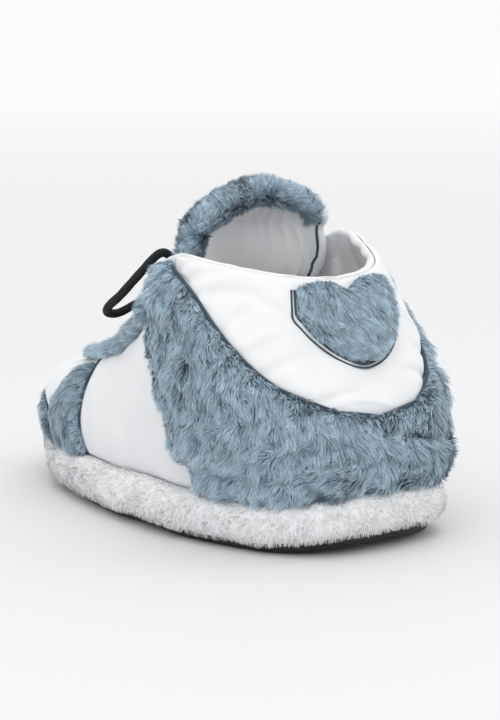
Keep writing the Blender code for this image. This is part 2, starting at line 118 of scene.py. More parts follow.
# Sections round the shoe from the heel to the toe, as in the part
SECTIONS = [
    # share, side, reach, height, low_out, low_up, high_out, high_down
    (0.00, 0.00, -0.725, 0.930, 0.42, 0.20, 0.48, 0.30),
    (0.10, 0.40, -0.695, 0.943, 0.56, 0.20, 0.62, 0.30),
    (0.18, 0.68, -0.615, 0.962, 0.68, 0.20, 0.78, 0.30),
    (0.27, 0.91, -0.450, 0.988, 0.70, 0.20, 0.72, 0.28),
    (0.37, 1.04, -0.260, 1.000, 0.62, 0.20, 0.44, 0.28),
    (0.44, 0.96, -0.140, 0.945, 0.50, 0.20, 0.26, 0.22),
    (0.51, 0.81, -0.020, 0.795, 0.42, 0.18, 0.28, 0.16),
    (0.60, 0.69, 0.150, 0.670, 0.40, 0.15, 0.46, 0.10),
    (0.70, 0.58, 0.330, 0.575, 0.46, 0.12, 0.80, 0.03),
    (0.80, 0.44, 0.490, 0.515, 0.60, 0.10, 1.24, -0.02),
    (0.90, 0.24, 0.590, 0.485, 0.80, 0.10, 1.60, -0.04),
    (1.00, 0.00, 0.620, 0.478, 0.86, 0.10, 1.72, -0.04),
]

# Upper edge of the fur quarter: place along the half loop, height up the wall
COLLAR_SEAM = [
    (0.00, 0.395), (0.08, 0.44), (0.15, 0.555), (0.22, 0.71), (0.28, 0.84), (0.33, 0.92), (0.37, 0.968),
]

# Upper edge of the toe guard: place along the half loop, height up the wall
GUARD_EDGE = [
    (0.655, 0.15), (0.668, 0.26), (0.686, 0.50), (0.704, 0.68), (0.722, 0.76), (0.740, 0.73),
    (0.756, 0.56), (0.774, 0.36), (0.792, 0.25), (0.840, 0.20), (0.900, 0.23), (1.000, 0.34),
]

# Front edge of the fur quarter, and back seam of the toe guard: height up the wall, place
QUARTER_FRONT = [(0.00, 0.350), (0.35, 0.395), (0.75, 0.440), (1.00, 0.462)]
GUARD_BACK = [(0.00, 0.650), (0.20, 0.662), (0.50, 0.683), (0.72, 0.700), (0.82, 0.716), (1.00, 0.740)]

# Tongue above the throat: height, reach, half width, set-back and drop of its side edges (shares)
TONGUE_TOP = [
    # height, reach, width, set_back, drop
    (0.846, -0.010, 0.95, 0.210, 0.010),
    (0.902, -0.085, 0.94, 0.165, 0.030),
    (0.944, -0.150, 0.86, 0.100, 0.050),
    (0.967, -0.195, 0.68, 0.050, 0.045),
    (0.974, -0.225, 0.42, 0.020, 0.020),
]

# Rows of the lace up the throat: place along the half loop
LACE_ROWS = [0.780, 0.700, 0.615, 0.530]

# The bow, measured from the knot's middle, X away from it
KNOT_SIZE = (0.0085, 0.0062, 0.0066)
BOW_LOOP = [
    (0.0093, 0.0003, 0.0034), (0.0199, -0.0037, 0.0140), (0.0340, -0.0110, 0.0180),
    (0.0475, -0.0102, 0.0075), (0.0570, -0.0040, -0.0050), (0.0585, 0.0060, -0.0128),
    (0.0530, 0.0145, -0.0178), (0.0427, 0.0185, -0.0195), (0.0313, 0.0145, -0.0140),
    (0.0207, 0.0062, -0.0060), (0.0092, 0.0010, -0.0034),
]
BOW_END = [
    (0.0050, 0.0034, -0.0049), (0.0075, 0.0095, -0.0080), (0.0110, 0.0165, -0.0095),
    (0.0130, 0.0255, -0.0130), (0.0110, 0.0345, -0.0165),
]

# How far the lace stands off the shell at its eyelets, and how deep it sinks into the tongue's fur
TOP_ROW_LIE = (0.0085, 0.0)
ROW_LIE = (0.0045, 0.0050)

# The camera stands where the photograph was taken from and frames the one shoe
CAMERA_PLACE = (-0.9306, -1.1973, 0.3430)
CAMERA_TARGET = (-0.0075, -0.0419, 0.0921)
CAMERA_SENSOR = 36.0
CAMERA_LENS = 188.0

# The studio lights, each aimed at the middle of the shoe
LIGHT_AIM = (0, 0, 0.08)
LIGHTS = [
    # name, place, size
    ("top", (0.1, -0.1, 2.1), 2.0),
    ("key", (-1.25, -1.20, 1.55), 1.4),
    ("fill", (1.5, -1.0, 1.2), 1.4),
]
FLOOR_SIZE = 40.0
# Painted light: from the first distance to the second the floor's colour turns from the darker near floor to
# the lighter far floor, which the lamps don't light.
FLOOR_FADE = (0.4, 4.0)

# How far the pieces reach: shares along the half loop, and heights up the wall
COLLAR_REACH = 0.352
COLLAR_TOP = 0.998
QUARTER_INSET = 0.042
QUARTER_SPLIT = 0.62
SIDE_INSET = 0.054
SIDE_HEIGHTS = (0.02, 0.84)
EYESTAY_SHARES = (0.470, 0.885)
EYESTAY_HEIGHTS = (0.850, 0.992)
GUARD_FOOT = 0.05
TAB_REACH = 0.114
EYELET_HEIGHT = 0.972
EYELET_DEPTH = 0.004
LINING_ACROSS = (0.03, 0.965)
LINING_UP = (0.30, 0.68)

# Width, height and rolled edge of each panel. The collar's height is its least and what it gains
# where its seam is low.
COLLAR_SIZE = (0.26, 0.020, 0.075, 0.010)
SIDE_SIZE = (0.085, 0.070, 0.007)
QUARTER_SIZE = (0.34, 0.10, 0.008)
EYESTAY_SIZE = (0.15, 0.020, 0.006)
GUARD_SIZE = (0.26, 0.028, 0.006)
TAB_SIZE = (0.075, 0.045, 0.007)

# The wall's grid runs up the outside, over the rolled edge and down the inside
ROLL_START = 0.66
ROLL_END = 0.82
ROLL_PART = 0.16
INSIDE_PART = 0.18
INSIDE_DEPTH = 0.42

# Length of the wall from the sole to its edge, and how the fur turns away from a parting
WALL_RUN = 0.13
SLOPE_STEP = 0.0015
PARTING_TURN = 1.6

# Lift of the cloth panels and of the fur's backing off the shell, and the part of the fur's depth
# that its backing takes up
PANEL_GAP = 0.0006
FUR_GAP = 0.0012
LONG_BACKING = 0.45
SHORT_BACKING = 0.34

# Creases in the collar panel: where the middle is, which way it runs, how big it is.
# share and height give its middle, turn its direction in degrees from level, then metres.
COLLAR_CREASES = [
    # share, height, turn, length, width, depth
    (0.335, 0.955, -35, 0.030, 0.0030, -0.0016),
    (0.300, 0.930, -20, 0.036, 0.0034, -0.0015),
    (0.270, 0.880, -48, 0.026, 0.0028, 0.0010),
    (0.235, 0.900, -12, 0.040, 0.0032, -0.0014),
    (0.215, 0.800, -42, 0.030, 0.0030, -0.0012),
    (0.180, 0.740, -30, 0.028, 0.0026, 0.0009),
    (0.160, 0.880, 20, 0.026, 0.0028, -0.0012),
    (0.150, 0.640, -28, 0.032, 0.0028, -0.0011),
    (0.060, 0.520, -8, 0.034, 0.0028, -0.0012),
    (0.020, 0.480, 12, 0.036, 0.0026, 0.0009),
    (-0.110, 0.560, 24, 0.026, 0.0024, -0.0013),
    (-0.150, 0.640, 40, 0.024, 0.0024, -0.0012),
    (-0.165, 0.740, 62, 0.026, 0.0026, 0.0010),
    (-0.200, 0.860, 35, 0.030, 0.0030, -0.0013),
    (-0.250, 0.900, 30, 0.034, 0.0032, -0.0014),
    (-0.310, 0.940, 25, 0.030, 0.0030, -0.0014),
]

# Creases in the smooth side panel and in the toe box, in the same way
SIDE_CREASES = [
    # share, height, turn, length, width, depth
    (0.470, 0.700, 70, 0.030, 0.0040, -0.0008),
    (0.520, 0.300, 20, 0.030, 0.0045, -0.0007),
    (0.600, 0.760, 10, 0.034, 0.0040, -0.0008),
    (0.640, 0.350, 60, 0.026, 0.0040, -0.0007),
]
TOE_CREASES = [
    # share, height, turn, length, width, depth
    (0.790, 0.930, 80, 0.018, 0.0028, -0.0012),
    (0.850, 0.900, 80, 0.022, 0.0030, -0.0013),
    (0.920, 0.920, 84, 0.020, 0.0030, -0.0013),
    (1.000, 0.900, 90, 0.024, 0.0032, -0.0014),
    (1.080, 0.920, 96, 0.020, 0.0030, -0.0013),
    (1.150, 0.900, 100, 0.022, 0.0030, -0.0013),
    (1.210, 0.930, 100, 0.018, 0.0028, -0.0012),
]

# Partings in the long fur, where the strands lean apart and the shade is deep
FUR_PARTINGS = [
    # share, height, turn, length, width, depth
    (0.300, 0.160, -6, 0.060, 0.0050, -0.0032),
    (0.200, 0.170, 4, 0.070, 0.0045, -0.0030),
    (0.240, 0.360, -14, 0.046, 0.0045, -0.0028),
    (0.120, 0.300, -6, 0.050, 0.0045, -0.0028),
    (0.050, 0.210, 5, 0.060, 0.0045, -0.0030),
    (0.330, 0.420, -30, 0.040, 0.0045, -0.0026),
    (0.350, 0.640, -65, 0.036, 0.0045, -0.0026),
    (0.295, 0.600, -55, 0.032, 0.0040, -0.0024),
    (-0.030, 0.300, 10, 0.050, 0.0045, -0.0028),
    (-0.120, 0.260, 8, 0.060, 0.0050, -0.0030),
    (-0.220, 0.330, 16, 0.050, 0.0045, -0.0028),
    (-0.300, 0.200, 4, 0.060, 0.0050, -0.0030),
    (-0.330, 0.600, 58, 0.040, 0.0045, -0.0026),
]

# Pleats in the tongue's lining: place across it at the top and at the foot, width and height
LINING_PLEATS = [
    # place, foot, width, height
    (0.100, 0.160, 0.018, 0.0024),
    (0.190, 0.215, 0.013, 0.0020),
    (0.265, 0.270, 0.022, 0.0010),
    (0.420, 0.400, 0.030, 0.0005),
    (0.560, 0.530, 0.026, 0.0006),
    (0.665, 0.620, 0.016, 0.0015),
    (0.740, 0.680, 0.014, 0.0018),
    (0.835, 0.740, 0.018, 0.0015),
    (0.920, 0.800, 0.016, 0.0016),
]

# One kind of pile: length, width, clump and wave in metres, the rest as shares, and the number of
# bends in a strand
Pile = namedtuple("Pile", "length width lift clump pull wave spread droop steps")
LONG_FUR = Pile(0.0100, 0.00046, 0.55, 0.0028, 0.42, 0.0010, 0.90, 0.20, 3)
SHORT_FUR = Pile(0.0086, 0.00044, 0.55, 0.0026, 0.40, 0.0009, 0.90, 0.20, 2)
STANDING_FUR = SHORT_FUR._replace(lift=0.72, length=0.0092)
ROLL_FUR = Pile(0.0068, 0.00044, 0.62, 0.0026, 0.38, 0.0008, 0.90, 0.10, 3)
BAND_PLUSH = Pile(0.0032, 0.00038, 0.66, 0.0020, 0.22, 0.0003, 0.60, 0.10, 2)

# One coat of fur. hem is the width along the named sides where strands are cut short and turned
# inwards, and the share that they are cut to. drift is how far the strands wander.
Coat = namedtuple("Coat", "strands pile seed hem drift", defaults=(None, (0.55, 0.35)))
COATS = {
    "band_plush": Coat(32000, BAND_PLUSH, 11),
    "quarter_fur_outer": Coat(39500, LONG_FUR, 52, (0.012, 0.40, "left top"), (0.50, 0.55)),
    "quarter_fur_inner": Coat(21000, LONG_FUR, 52, (0.012, 0.40, "right top"), (0.50, 0.55)),
    "eyestay_fur": Coat(7000, STANDING_FUR, 61, (0.004, 0.6, "left right bottom top")),
    "guard_fur": Coat(26000, SHORT_FUR, 71, (0.008, 0.45, "left right top")),
    "tab_fur": Coat(15000, SHORT_FUR, 81, (0.008, 0.45, "left right bottom top")),
    "tongue_fur": Coat(30000, SHORT_FUR, 91, (0.012, 0.35, "top")),
    "tongue_roll_fur": Coat(17000, ROLL_FUR, 92),
}

# How unlike each other the strands and their locks are
WANDER_SIZES = (0.030, 0.012)
HEM_TURN = 1.3
STRAY_TURN = 0.22
STRAY_LIFT = 0.07
LIFT_PATCH = (0.30, 0.014)
LIFT_RANGE = (0.12, 0.92)
STRAND_LENGTHS = (0.62, 1.12)
LOCK_LENGTHS = (0.80, 1.15)
STRAND_PULLS = (0.5, 1.3)
STRAND_WIDTHS = (0.75, 1.25)
STRAND_ROLL = 0.45

# Columns and rows of each piece's grid
GRIDS = {
    "outsole_rubber": (240, 18), "band_foam": (260, 24), "insole_cloth": (160, 8), "shell_cloth": (300, 60),
    "shell_lining": (240, 30), "collar_cloth": (260, 72), "side_cloth": (90, 64), "quarter_base": (180, 48),
    "eyestay_base": (90, 14), "guard_base": (260, 24), "tab_base": (80, 50), "tongue_lining": (120, 60),
}


def table_value(table, place, column=1):
    """Reads a short table by straight lines between its rows."""
    rows = np.array(table, dtype=float)
    return np.interp(place, rows[:, 0], rows[:, column])


def smooth_table(table, place):
    """Reads every column of a table with a smooth curve through its rows."""
    rows = np.array(table, dtype=float)
    knots, values = rows[:, 0], rows[:, 1:]
    slopes = np.gradient(values, knots, axis=0)
    place = np.clip(place, knots[0], knots[-1])
    cell = np.clip(np.searchsorted(knots, place, side="right") - 1, 0, len(knots) - 2)
    width = knots[cell + 1] - knots[cell]
    s = ((place - knots[cell]) / width)[:, None]
    width = width[:, None]
    return (
        (2 * s**3 - 3 * s**2 + 1) * values[cell]
        + (s**3 - 2 * s**2 + s) * width * slopes[cell]
        + (3 * s**2 - 2 * s**3) * values[cell + 1]
        + (s**3 - s**2) * width * slopes[cell + 1]
    )


def sole_curve():
    """The sole's edge as a dense loop, with its length shares: 0 heel, 1 toe, 2 heel again."""
    angle = np.linspace(0, 2 * math.pi, 721)
    along, across = -np.cos(angle), -np.sin(angle)
    power = 2 / np.where(along > 0, TOE_BLUNT, HEEL_BLUNT)
    along = np.sign(along) * np.abs(along) ** power
    across = np.sign(across) * np.abs(across) ** power
    outer, inner, toe = smooth_table(SOLE_WIDTHS, along).T
    half = (HEEL_WIDTH * (1 - toe) + BALL_WIDTH * toe) / 2
    x = across * half * np.where(across < 0, outer, inner) + TOE_TURN * np.clip(along, 0, 1) ** 2
    y = along * HALF_LENGTH
    run = np.concatenate([[0], np.cumsum(np.hypot(np.diff(x), np.diff(y)))])
    toe_run = run[360]
    share = np.where(run <= toe_run, run / toe_run, 1 + (run - toe_run) / (run[-1] - toe_run))
    return share, x, y, toe_run


EDGE_SHARE, EDGE_X, EDGE_Y, HALF_LOOP = sole_curve()


def sole_edge(share, grow=0.0):
    """Points on the sole's edge, moved outwards by grow, and the outward direction there."""
    share = np.mod(share, 2.0)
    step = 0.012
    ahead, behind = np.mod(share + step, 2.0), np.mod(share - step, 2.0)
    tx = np.interp(ahead, EDGE_SHARE, EDGE_X) - np.interp(behind, EDGE_SHARE, EDGE_X)
    ty = np.interp(ahead, EDGE_SHARE, EDGE_Y) - np.interp(behind, EDGE_SHARE, EDGE_Y)
    length = np.hypot(tx, ty)
    nx, ny = -ty / length, tx / length
    x = np.interp(share, EDGE_SHARE, EDGE_X) + nx * grow
    y = np.interp(share, EDGE_SHARE, EDGE_Y) + ny * grow
    return x, y, nx, ny


def sole_lift(y):
    """Rise of the sole's underside: toe spring, heel lift and the arch."""
    along = np.asarray(y) / HALF_LENGTH
    toe = np.clip((along - 0.56) / 0.44, 0, None) ** 2 * TOE_SPRING
    heel = np.clip((-along - 0.74) / 0.26, 0, None) ** 2 * HEEL_LIFT
    arch = np.where(np.abs(along + 0.16) < 0.24, 0.5 + 0.5 * np.cos((along + 0.16) / 0.24 * math.pi), 0)
    return toe + heel + arch * ARCH_RISE


def opening_edge(share):
    """The upper's top edge: collar, throat and the end of the throat above the toes."""
    folded = 1 - np.abs(1 - np.mod(share, 2.0))
    values = smooth_table(SECTIONS, folded)
    sign = np.where(np.mod(share, 2.0) <= 1, -1.0, 1.0)
    y = values[:, 1] * HALF_LENGTH
    x = sign * np.abs(values[:, 0]) * COLLAR_WIDTH / 2
    x = x + TOE_TURN * np.clip(y / HALF_LENGTH, 0, 1)
    z = values[:, 2] * COLLAR_HEIGHT
    ankle = np.exp(-(((folded - COLLAR_FRONT) / 0.12) ** 2))
    z = z + np.where(sign > 0, ankle * INNER_RISE, 0.0)
    return np.stack([x, y, z], 1), values[:, 3:]


def shell(share, height):
    """The outside of the upper's wall. share runs round the shoe, height from sole to opening."""
    share, height = np.broadcast_arrays(np.asarray(share, float), np.asarray(height, float))
    shape = share.shape
    share, height = share.ravel(), height.ravel()
    x, y, nx, ny = sole_edge(share, -FEATHER_INSET)
    low = np.stack([x, y, FEATHER_HEIGHT + FIT_GAP + sole_lift(y)], 1)
    top, swell = opening_edge(share)
    out = np.stack([nx, ny, np.zeros_like(nx)], 1)
    up = np.array([[0.0, 0.0, 1.0]])
    first = low + out * swell[:, 0:1] * WALL_PUFF + up * swell[:, 1:2] * COLLAR_HEIGHT
    second = top + out * swell[:, 2:3] * WALL_PUFF - up * swell[:, 3:4] * COLLAR_HEIGHT
    h = height[:, None]
    point = (1 - h) ** 3 * low + 3 * (1 - h) ** 2 * h * first + 3 * (1 - h) * h**2 * second + h**3 * top
    return point.reshape(shape + (3,)) + PLACE


def unit(vectors):
    return vectors / np.maximum(np.linalg.norm(vectors, axis=-1, keepdims=True), 1e-12)


def shell_frame(share, height):
    """Point, outward direction and upward direction on the shell."""
    share, height = np.broadcast_arrays(np.asarray(share, float), np.asarray(height, float))
    ds, dh = 0.006, 0.012
    along = shell(share + ds, height) - shell(share - ds, height)
    rise = shell(share, np.clip(height + dh, 0, 1)) - shell(share, np.clip(height - dh, 0, 1))
    return shell(share, height), unit(np.cross(rise, along)), unit(rise)


def skin(share, height, lift=0.0):
    """Points at a lift off the shell's outside."""
    point, out, _ = shell_frame(share, height)
    return point + out * np.asarray(lift, float)[..., None]


def skin_point(share, height, lift):
    """One point at a lift off the shell's outside."""
    return skin(np.array([share]), np.array([height]), np.array([lift]))[0]


def waves(points, size, seed):
    """A soft, even ripple in space between about -1 and 1, with bumps of about that size."""
    rng = np.random.default_rng(seed)
    total = np.zeros(points.shape[:-1])
    for _ in range(6):
        direction = unit(rng.normal(size=3)) / (size * rng.uniform(0.8, 1.6))
        total += np.sin(points @ direction * 2 * math.pi + rng.uniform(0, 2 * math.pi))
    return total / 2.6


def creases(table, share, height, wall=WALL_RUN):
    """Soft troughs and ridges placed one by one on the shell, as a lift in metres."""
    total = np.zeros(np.shape(share))
    for where, up, turn, length, width, depth in table:
        across = (share - where) * HALF_LOOP
        rise = (height - up) * wall
        a = math.radians(turn)
        run = across * math.cos(a) + rise * math.sin(a)
        side = -across * math.sin(a) + rise * math.cos(a)
        side = side + 0.12 * run**2 / length
        total = total + depth * np.exp(-((side / width) ** 2)) * np.exp(-((2 * run / length) ** 4))
    return total


def mesh_from(bm, name):
    """Turns a finished bmesh into a mesh."""
    mesh = bpy.data.meshes.new(name)
    bm.to_mesh(mesh)
    bm.free()
    return mesh


def put_object(name, data):
    item = bpy.data.objects.new(name, data)
    bpy.context.collection.objects.link(item)
    return item


def stand_at(name, data, place, target):
    """Puts a light or a camera at its place, turned to its target."""
    item = put_object(name, data)
    item.location = place
    item.rotation_euler = (Vector(target) - Vector(place)).to_track_quat("-Z", "Y").to_euler()
    return item


def bent_grid(name, surface, size=None, wrapped=False, turned=False, capped=False):
    """A mesh from a flat grid that surface(u, v) bends into place, u across it and v up it."""
    columns, rows = size or GRIDS[name.replace("_outer", "").replace("_inner", "")]
    bm = bmesh.new()
    bm.loops.layers.uv.new(PATTERN_MAP)
    bmesh.ops.create_grid(bm, x_segments=columns, y_segments=rows, size=0.5, calc_uvs=True)
    flat = np.array([v.co for v in bm.verts]) + 0.5
    for vertex, point in zip(bm.verts, surface(flat[:, 0], flat[:, 1])):
        vertex.co = point
    if wrapped:
        bmesh.ops.remove_doubles(bm, verts=bm.verts, dist=1e-6)
    if capped:
        edges = [e for e in bm.edges if e.is_boundary]
        filled = bmesh.ops.holes_fill(bm, edges=edges, sides=0)
        bmesh.ops.triangulate(bm, faces=filled["faces"])
    if turned:
        bmesh.ops.reverse_faces(bm, faces=bm.faces)
    return mesh_from(bm, name)


def place_piece(mesh, finish, nodes=(), name=None):
    """Makes the object, gives it its finish and ties it to the frame."""
    item = put_object(name or mesh.name, mesh)
    mesh.materials.append(bpy.data.materials[finish])
    mesh.shade_smooth()
    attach(item, "root")
    if nodes:
        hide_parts(*nodes)
    return item


def rolled_edge(u, v, across, up, roll):
    """0 on a panel's edges, rising to 1 within the width of the rolled edge."""
    near = np.minimum(np.minimum(u, 1 - u) * across, np.minimum(v, 1 - v) * up)
    near = np.clip(near / roll, 0, 1)
    return np.sqrt(1 - (1 - near) ** 2)


def run_along(points):
    """Distance from the first point of a route to each of its points."""
    return np.concatenate([[0], np.cumsum(np.linalg.norm(np.diff(points, axis=0), axis=1))])


def route_through(points, step):
    """Points at even steps on a smooth curve through a route."""
    points = np.array(points, dtype=float)
    run = run_along(points)
    fine = smooth_table(np.column_stack([run, points]), np.linspace(0, run[-1], 600))
    run = run_along(fine)
    places = np.linspace(0, run[-1], max(8, int(round(run[-1] / step)) + 1))
    return np.stack([np.interp(places, run, fine[:, axis]) for axis in range(3)], 1), run[-1]


def route_axes(route):
    """Tangent, side and other direction along a route, turning as little as they can."""
    steps = len(route)
    tangent = unit(np.gradient(route, axis=0))
    side = np.zeros_like(route)
    side[0] = unit(np.cross(tangent[0], [0.31, 0.17, 0.94]))
    for i in range(1, steps):
        side[i] = unit(side[i - 1] - tangent[i] * np.dot(side[i - 1], tangent[i]))
    return tangent, side, np.cross(tangent, side)


def tube(name, route, radius, sides=12, relief=None, rounded=0.0):
    """A round tube along a route. relief(turn, along) adds to its radius, in metres."""
    steps = len(route)
    _, side, other = route_axes(route)
    run = run_along(route)

    def surface(u, v):
        row = np.clip(np.rint(v * (steps - 1)).astype(int), 0, steps - 1)
        size = np.full(len(u), float(radius))
        if rounded:
            end = np.minimum(run[row], run[-1] - run[row])
            size *= np.sqrt(np.clip(1 - (1 - np.clip(end / rounded, 0, 1)) ** 2, 0.05, 1))
        if relief:
            size += relief(np.mod(u, 1.0), run[row])
        a = (2 * math.pi * np.mod(u, 1.0))[:, None]
        return route[row] + (side[row] * np.cos(a) + other[row] * np.sin(a)) * size[:, None]

    return bent_grid(name, surface, (sides, steps - 1), wrapped=True, capped=True)


def sampled(surface, columns, rows, across=(0, 1), up=(0, 1)):
    """A grid of points on surface(u, v) for fur to grow from, with its rows up the surface."""
    v, u = np.meshgrid(np.linspace(*up, rows), np.linspace(*across, columns), indexing="ij")
    return surface(u.ravel(), v.ravel()).reshape(*u.shape, 3)


def strand_strips(name, count, segments):
    """Many flat strips in one mesh, each of them a strand with a pointed tip."""
    bm = bmesh.new()
    bm.loops.layers.uv.new(PATTERN_MAP)
    bmesh.ops.create_grid(bm, x_segments=1, y_segments=segments, size=0.5, calc_uvs=True)
    tip = [v for v in bm.verts if v.co.y > 0.49]
    bmesh.ops.pointmerge(bm, verts=tip, merge_co=(0.0, 0.5, 0.0))
    mesh = mesh_from(bm, name)
    item = put_object(name, mesh)
    array = item.modifiers.new("strands", "ARRAY")
    array.count = count
    array.use_relative_offset = False
    place = np.array([v.co for v in mesh.vertices])
    strips = bpy.data.meshes.new_from_object(item.evaluated_get(bpy.context.evaluated_depsgraph_get()))
    bpy.data.objects.remove(item, do_unlink=True)
    return strips, place[:, 0] * 2, place[:, 1] + 0.5


def nearest(points, targets):
    """Number of the nearest target to each point."""
    tree = kdtree.KDTree(len(targets))
    for i, target in enumerate(targets):
        tree.insert(target, i)
    tree.balance()
    return np.array([tree.find(point)[1] for point in points])


def scatter(grid, count, rng):
    """Random points over a grid of points, with their outward and sideways directions."""
    across = np.gradient(grid, axis=1)
    upward = np.gradient(grid, axis=0)
    normal = unit(np.cross(across, upward))
    a, b, c, d = grid[:-1, :-1], grid[:-1, 1:], grid[1:, 1:], grid[1:, :-1]
    area = np.linalg.norm(np.cross(c - a, d - b), axis=-1).ravel()
    cell = rng.choice(area.size, size=count, p=area / area.sum())
    row, column = np.divmod(cell, grid.shape[1] - 1)
    s, t = rng.random(count), rng.random(count)

    def mix(values):
        s_, t_ = s[:, None], t[:, None]
        low = values[row, column] * (1 - s_) + values[row, column + 1] * s_
        high = values[row + 1, column] * (1 - s_) + values[row + 1, column + 1] * s_
        return low * (1 - t_) + high * t_

    u = (column + s) / (grid.shape[1] - 1)
    v = (row + t) / (grid.shape[0] - 1)
    return mix(grid), unit(mix(normal)), unit(mix(across)), u, v


def strand_paths(root, out, lean, size, lift, wave, phase, steps):
    """Paths of strands: they stand up from the root, bend over and run along their lean."""
    t = steps[None, :, None]
    flat = np.sqrt(1 - lift**2)[:, None, None]
    lift = lift[:, None, None]
    sideways = np.cross(lean, out)
    sway = np.sin(2 * math.pi * (0.9 * t + phase[:, None, None])) * t * wave
    return (
        root[:, None, :]
        + size[:, None, None] * (out[:, None, :] * lift * (2 * t - t**2) + lean[:, None, :] * flat * t**1.15)
        + sideways[:, None, :] * sway
    )


def grow_fur(name, grid, comb, coat, finish="fur"):
    """Grows clumped strands over a grid. comb(point, across, u, v) gives the way they lie."""
    pile, seed, drift = coat.pile, coat.seed, coat.drift
    count = int(coat.strands * bpy.context.scene.slipper_fur.density)
    rng = np.random.default_rng(seed)
    root, out, across, u, v = scatter(grid, count, rng)
    lean = unit(comb(root, across, u, v))
    cut = np.ones(count)
    if coat.hem:
        reach, least, sides = coat.hem
        lines = {"left": grid[:, 0], "right": grid[:, -1], "bottom": grid[0], "top": grid[-1]}
        rim = np.concatenate([lines[side] for side in sides.split()])
        away = root - rim[nearest(root, rim)]
        near = np.clip(np.linalg.norm(away, axis=1) / reach, 0, 1)
        lean = lean + unit(away) * (HEM_TURN * (1 - near))[:, None]
        cut = least + (1 - least) * near
    lean = unit(lean - out * np.sum(lean * out, axis=1, keepdims=True))
    side = np.cross(out, lean)
    broad, narrow = (waves(root, size, seed + 1 + i) for i, size in enumerate(WANDER_SIZES))
    wander = drift[0] * broad + drift[1] * narrow
    turn = wander + rng.normal(0, STRAY_TURN, count)
    own_lean = lean * np.cos(turn)[:, None] + side * np.sin(turn)[:, None]
    patch = 1 + LIFT_PATCH[0] * waves(root, LIFT_PATCH[1], seed + 3)
    lift = np.clip(pile.lift * patch + rng.normal(0, STRAY_LIFT, count), *LIFT_RANGE)
    size = pile.length * cut * rng.uniform(*STRAND_LENGTHS, count)
    phase = rng.random(count)

    first, second = grid[1:, 1:] - grid[:-1, :-1], grid[1:, :-1] - grid[:-1, 1:]
    area = np.linalg.norm(np.cross(first, second), axis=-1).sum() / 2
    locks = min(max(8, int(area / pile.clump**2)), count)
    lock = nearest(root + rng.normal(0, pile.clump * 0.25, (count, 3)), root[:locks])
    lock_turn = wander + rng.normal(0, pile.spread * 0.5, count)
    lock_lean = lean * np.cos(lock_turn)[:, None] + side * np.sin(lock_turn)[:, None]
    lock_size = pile.length * cut * rng.uniform(*LOCK_LENGTHS, count)

    strips, edge, steps = strand_strips(name, count, pile.steps)
    place = np.unique(np.round(steps, 4))
    own = strand_paths(root, out, own_lean, size, lift, pile.wave * 0.5, phase, place)
    led = strand_paths(root, out, lock_lean, lock_size, lift, pile.wave, phase, place)[lock]
    pull = pile.pull * rng.uniform(*STRAND_PULLS, count)[:, None, None] * place[None, :, None] ** 1.3
    path = own * (1 - pull) + (led + (root - root[lock])[:, None, :] * 0.25) * pull
    path[..., 2] -= pile.droop * pile.length * place[None, :] ** 2 * 0.3
    run = unit(np.gradient(path, axis=1))
    flat = unit(np.cross(run, out[:, None, :]))
    roll = rng.normal(0, STRAND_ROLL, count)[:, None, None]
    flat = flat * np.cos(roll) + out[:, None, :] * np.sin(roll)
    width = pile.width * rng.uniform(*STRAND_WIDTHS, count)[:, None] * (1 - place[None, :]) ** 0.6 / 2

    index = np.searchsorted(place, np.round(steps, 4))
    points = path[:, index] + flat[:, index] * (width[:, index] * edge[None, :])[..., None]
    strips.vertices.foreach_set("co", points.reshape(-1))

    tone = np.clip(0.5 + 0.17 * rng.normal(size=count)[lock] + 0.10 * rng.normal(size=count), 0.02, 0.98)
    corner = np.empty(len(strips.loops), dtype=np.int32)
    strips.loops.foreach_get("vertex_index", corner)
    strand, local = np.divmod(corner, len(steps))
    pattern = np.stack([tone[strand], np.clip(steps[local], 0.01, 0.99)], 1)
    strips.uv_layers[PATTERN_MAP].uv.foreach_set("vector", pattern.reshape(-1))
    strips.update()

    bulge = (root - root[lock]) / pile.clump
    soft = unit(out + 0.75 * bulge + 0.20 * rng.normal(size=(count, 3)))
    soft = np.repeat(soft[:, None, :], len(steps), axis=1)
    place_piece(strips, finish, name=name)
    strips.normals_split_custom_set_from_vertices(soft.reshape(-1, 3))


# Materials

def node_group(name, inputs, outputs):
    """An empty shader node group with its sockets, and its input and output nodes."""
    group = bpy.data.node_groups.new(name, "ShaderNodeTree")
    for label, kind, value in inputs:
        socket = group.interface.new_socket(label, in_out="INPUT", socket_type=kind)
        socket.default_value = value
    for label, kind in outputs:
        group.interface.new_socket(label, in_out="OUTPUT", socket_type=kind)
    return group, group.nodes.new("NodeGroupInput"), group.nodes.new("NodeGroupOutput")


def mix_colour(tree, factor, first, second, blend="MIX"):
    """A colour Mix node. Each value is a socket to link, or a plain value."""
    mix = tree.nodes.new("ShaderNodeMix")
    mix.data_type = "RGBA"
    mix.blend_type = blend
    for socket, value in ((mix.inputs[0], factor), (mix.inputs[6], first), (mix.inputs[7], second)):
        if isinstance(value, bpy.types.NodeSocket):
            tree.links.new(value, socket)
        else:
            socket.default_value = value
    return mix.outputs[2]


def maths(tree, operation, *values):
    node = tree.nodes.new("ShaderNodeMath")
    node.operation = operation
    for socket, value in zip(node.inputs, values):
        if isinstance(value, bpy.types.NodeSocket):
            tree.links.new(value, socket)
        else:
            socket.default_value = value
    return node.outputs[0]


def noise(tree, place, scale, detail=2.0, roughness=0.5):
    node = tree.nodes.new("ShaderNodeTexNoise")
    node.inputs["Scale"].default_value = scale
    node.inputs["Detail"].default_value = detail
    node.inputs["Roughness"].default_value = roughness
    tree.links.new(place, node.inputs["Vector"])
    return node.outputs["Fac"]


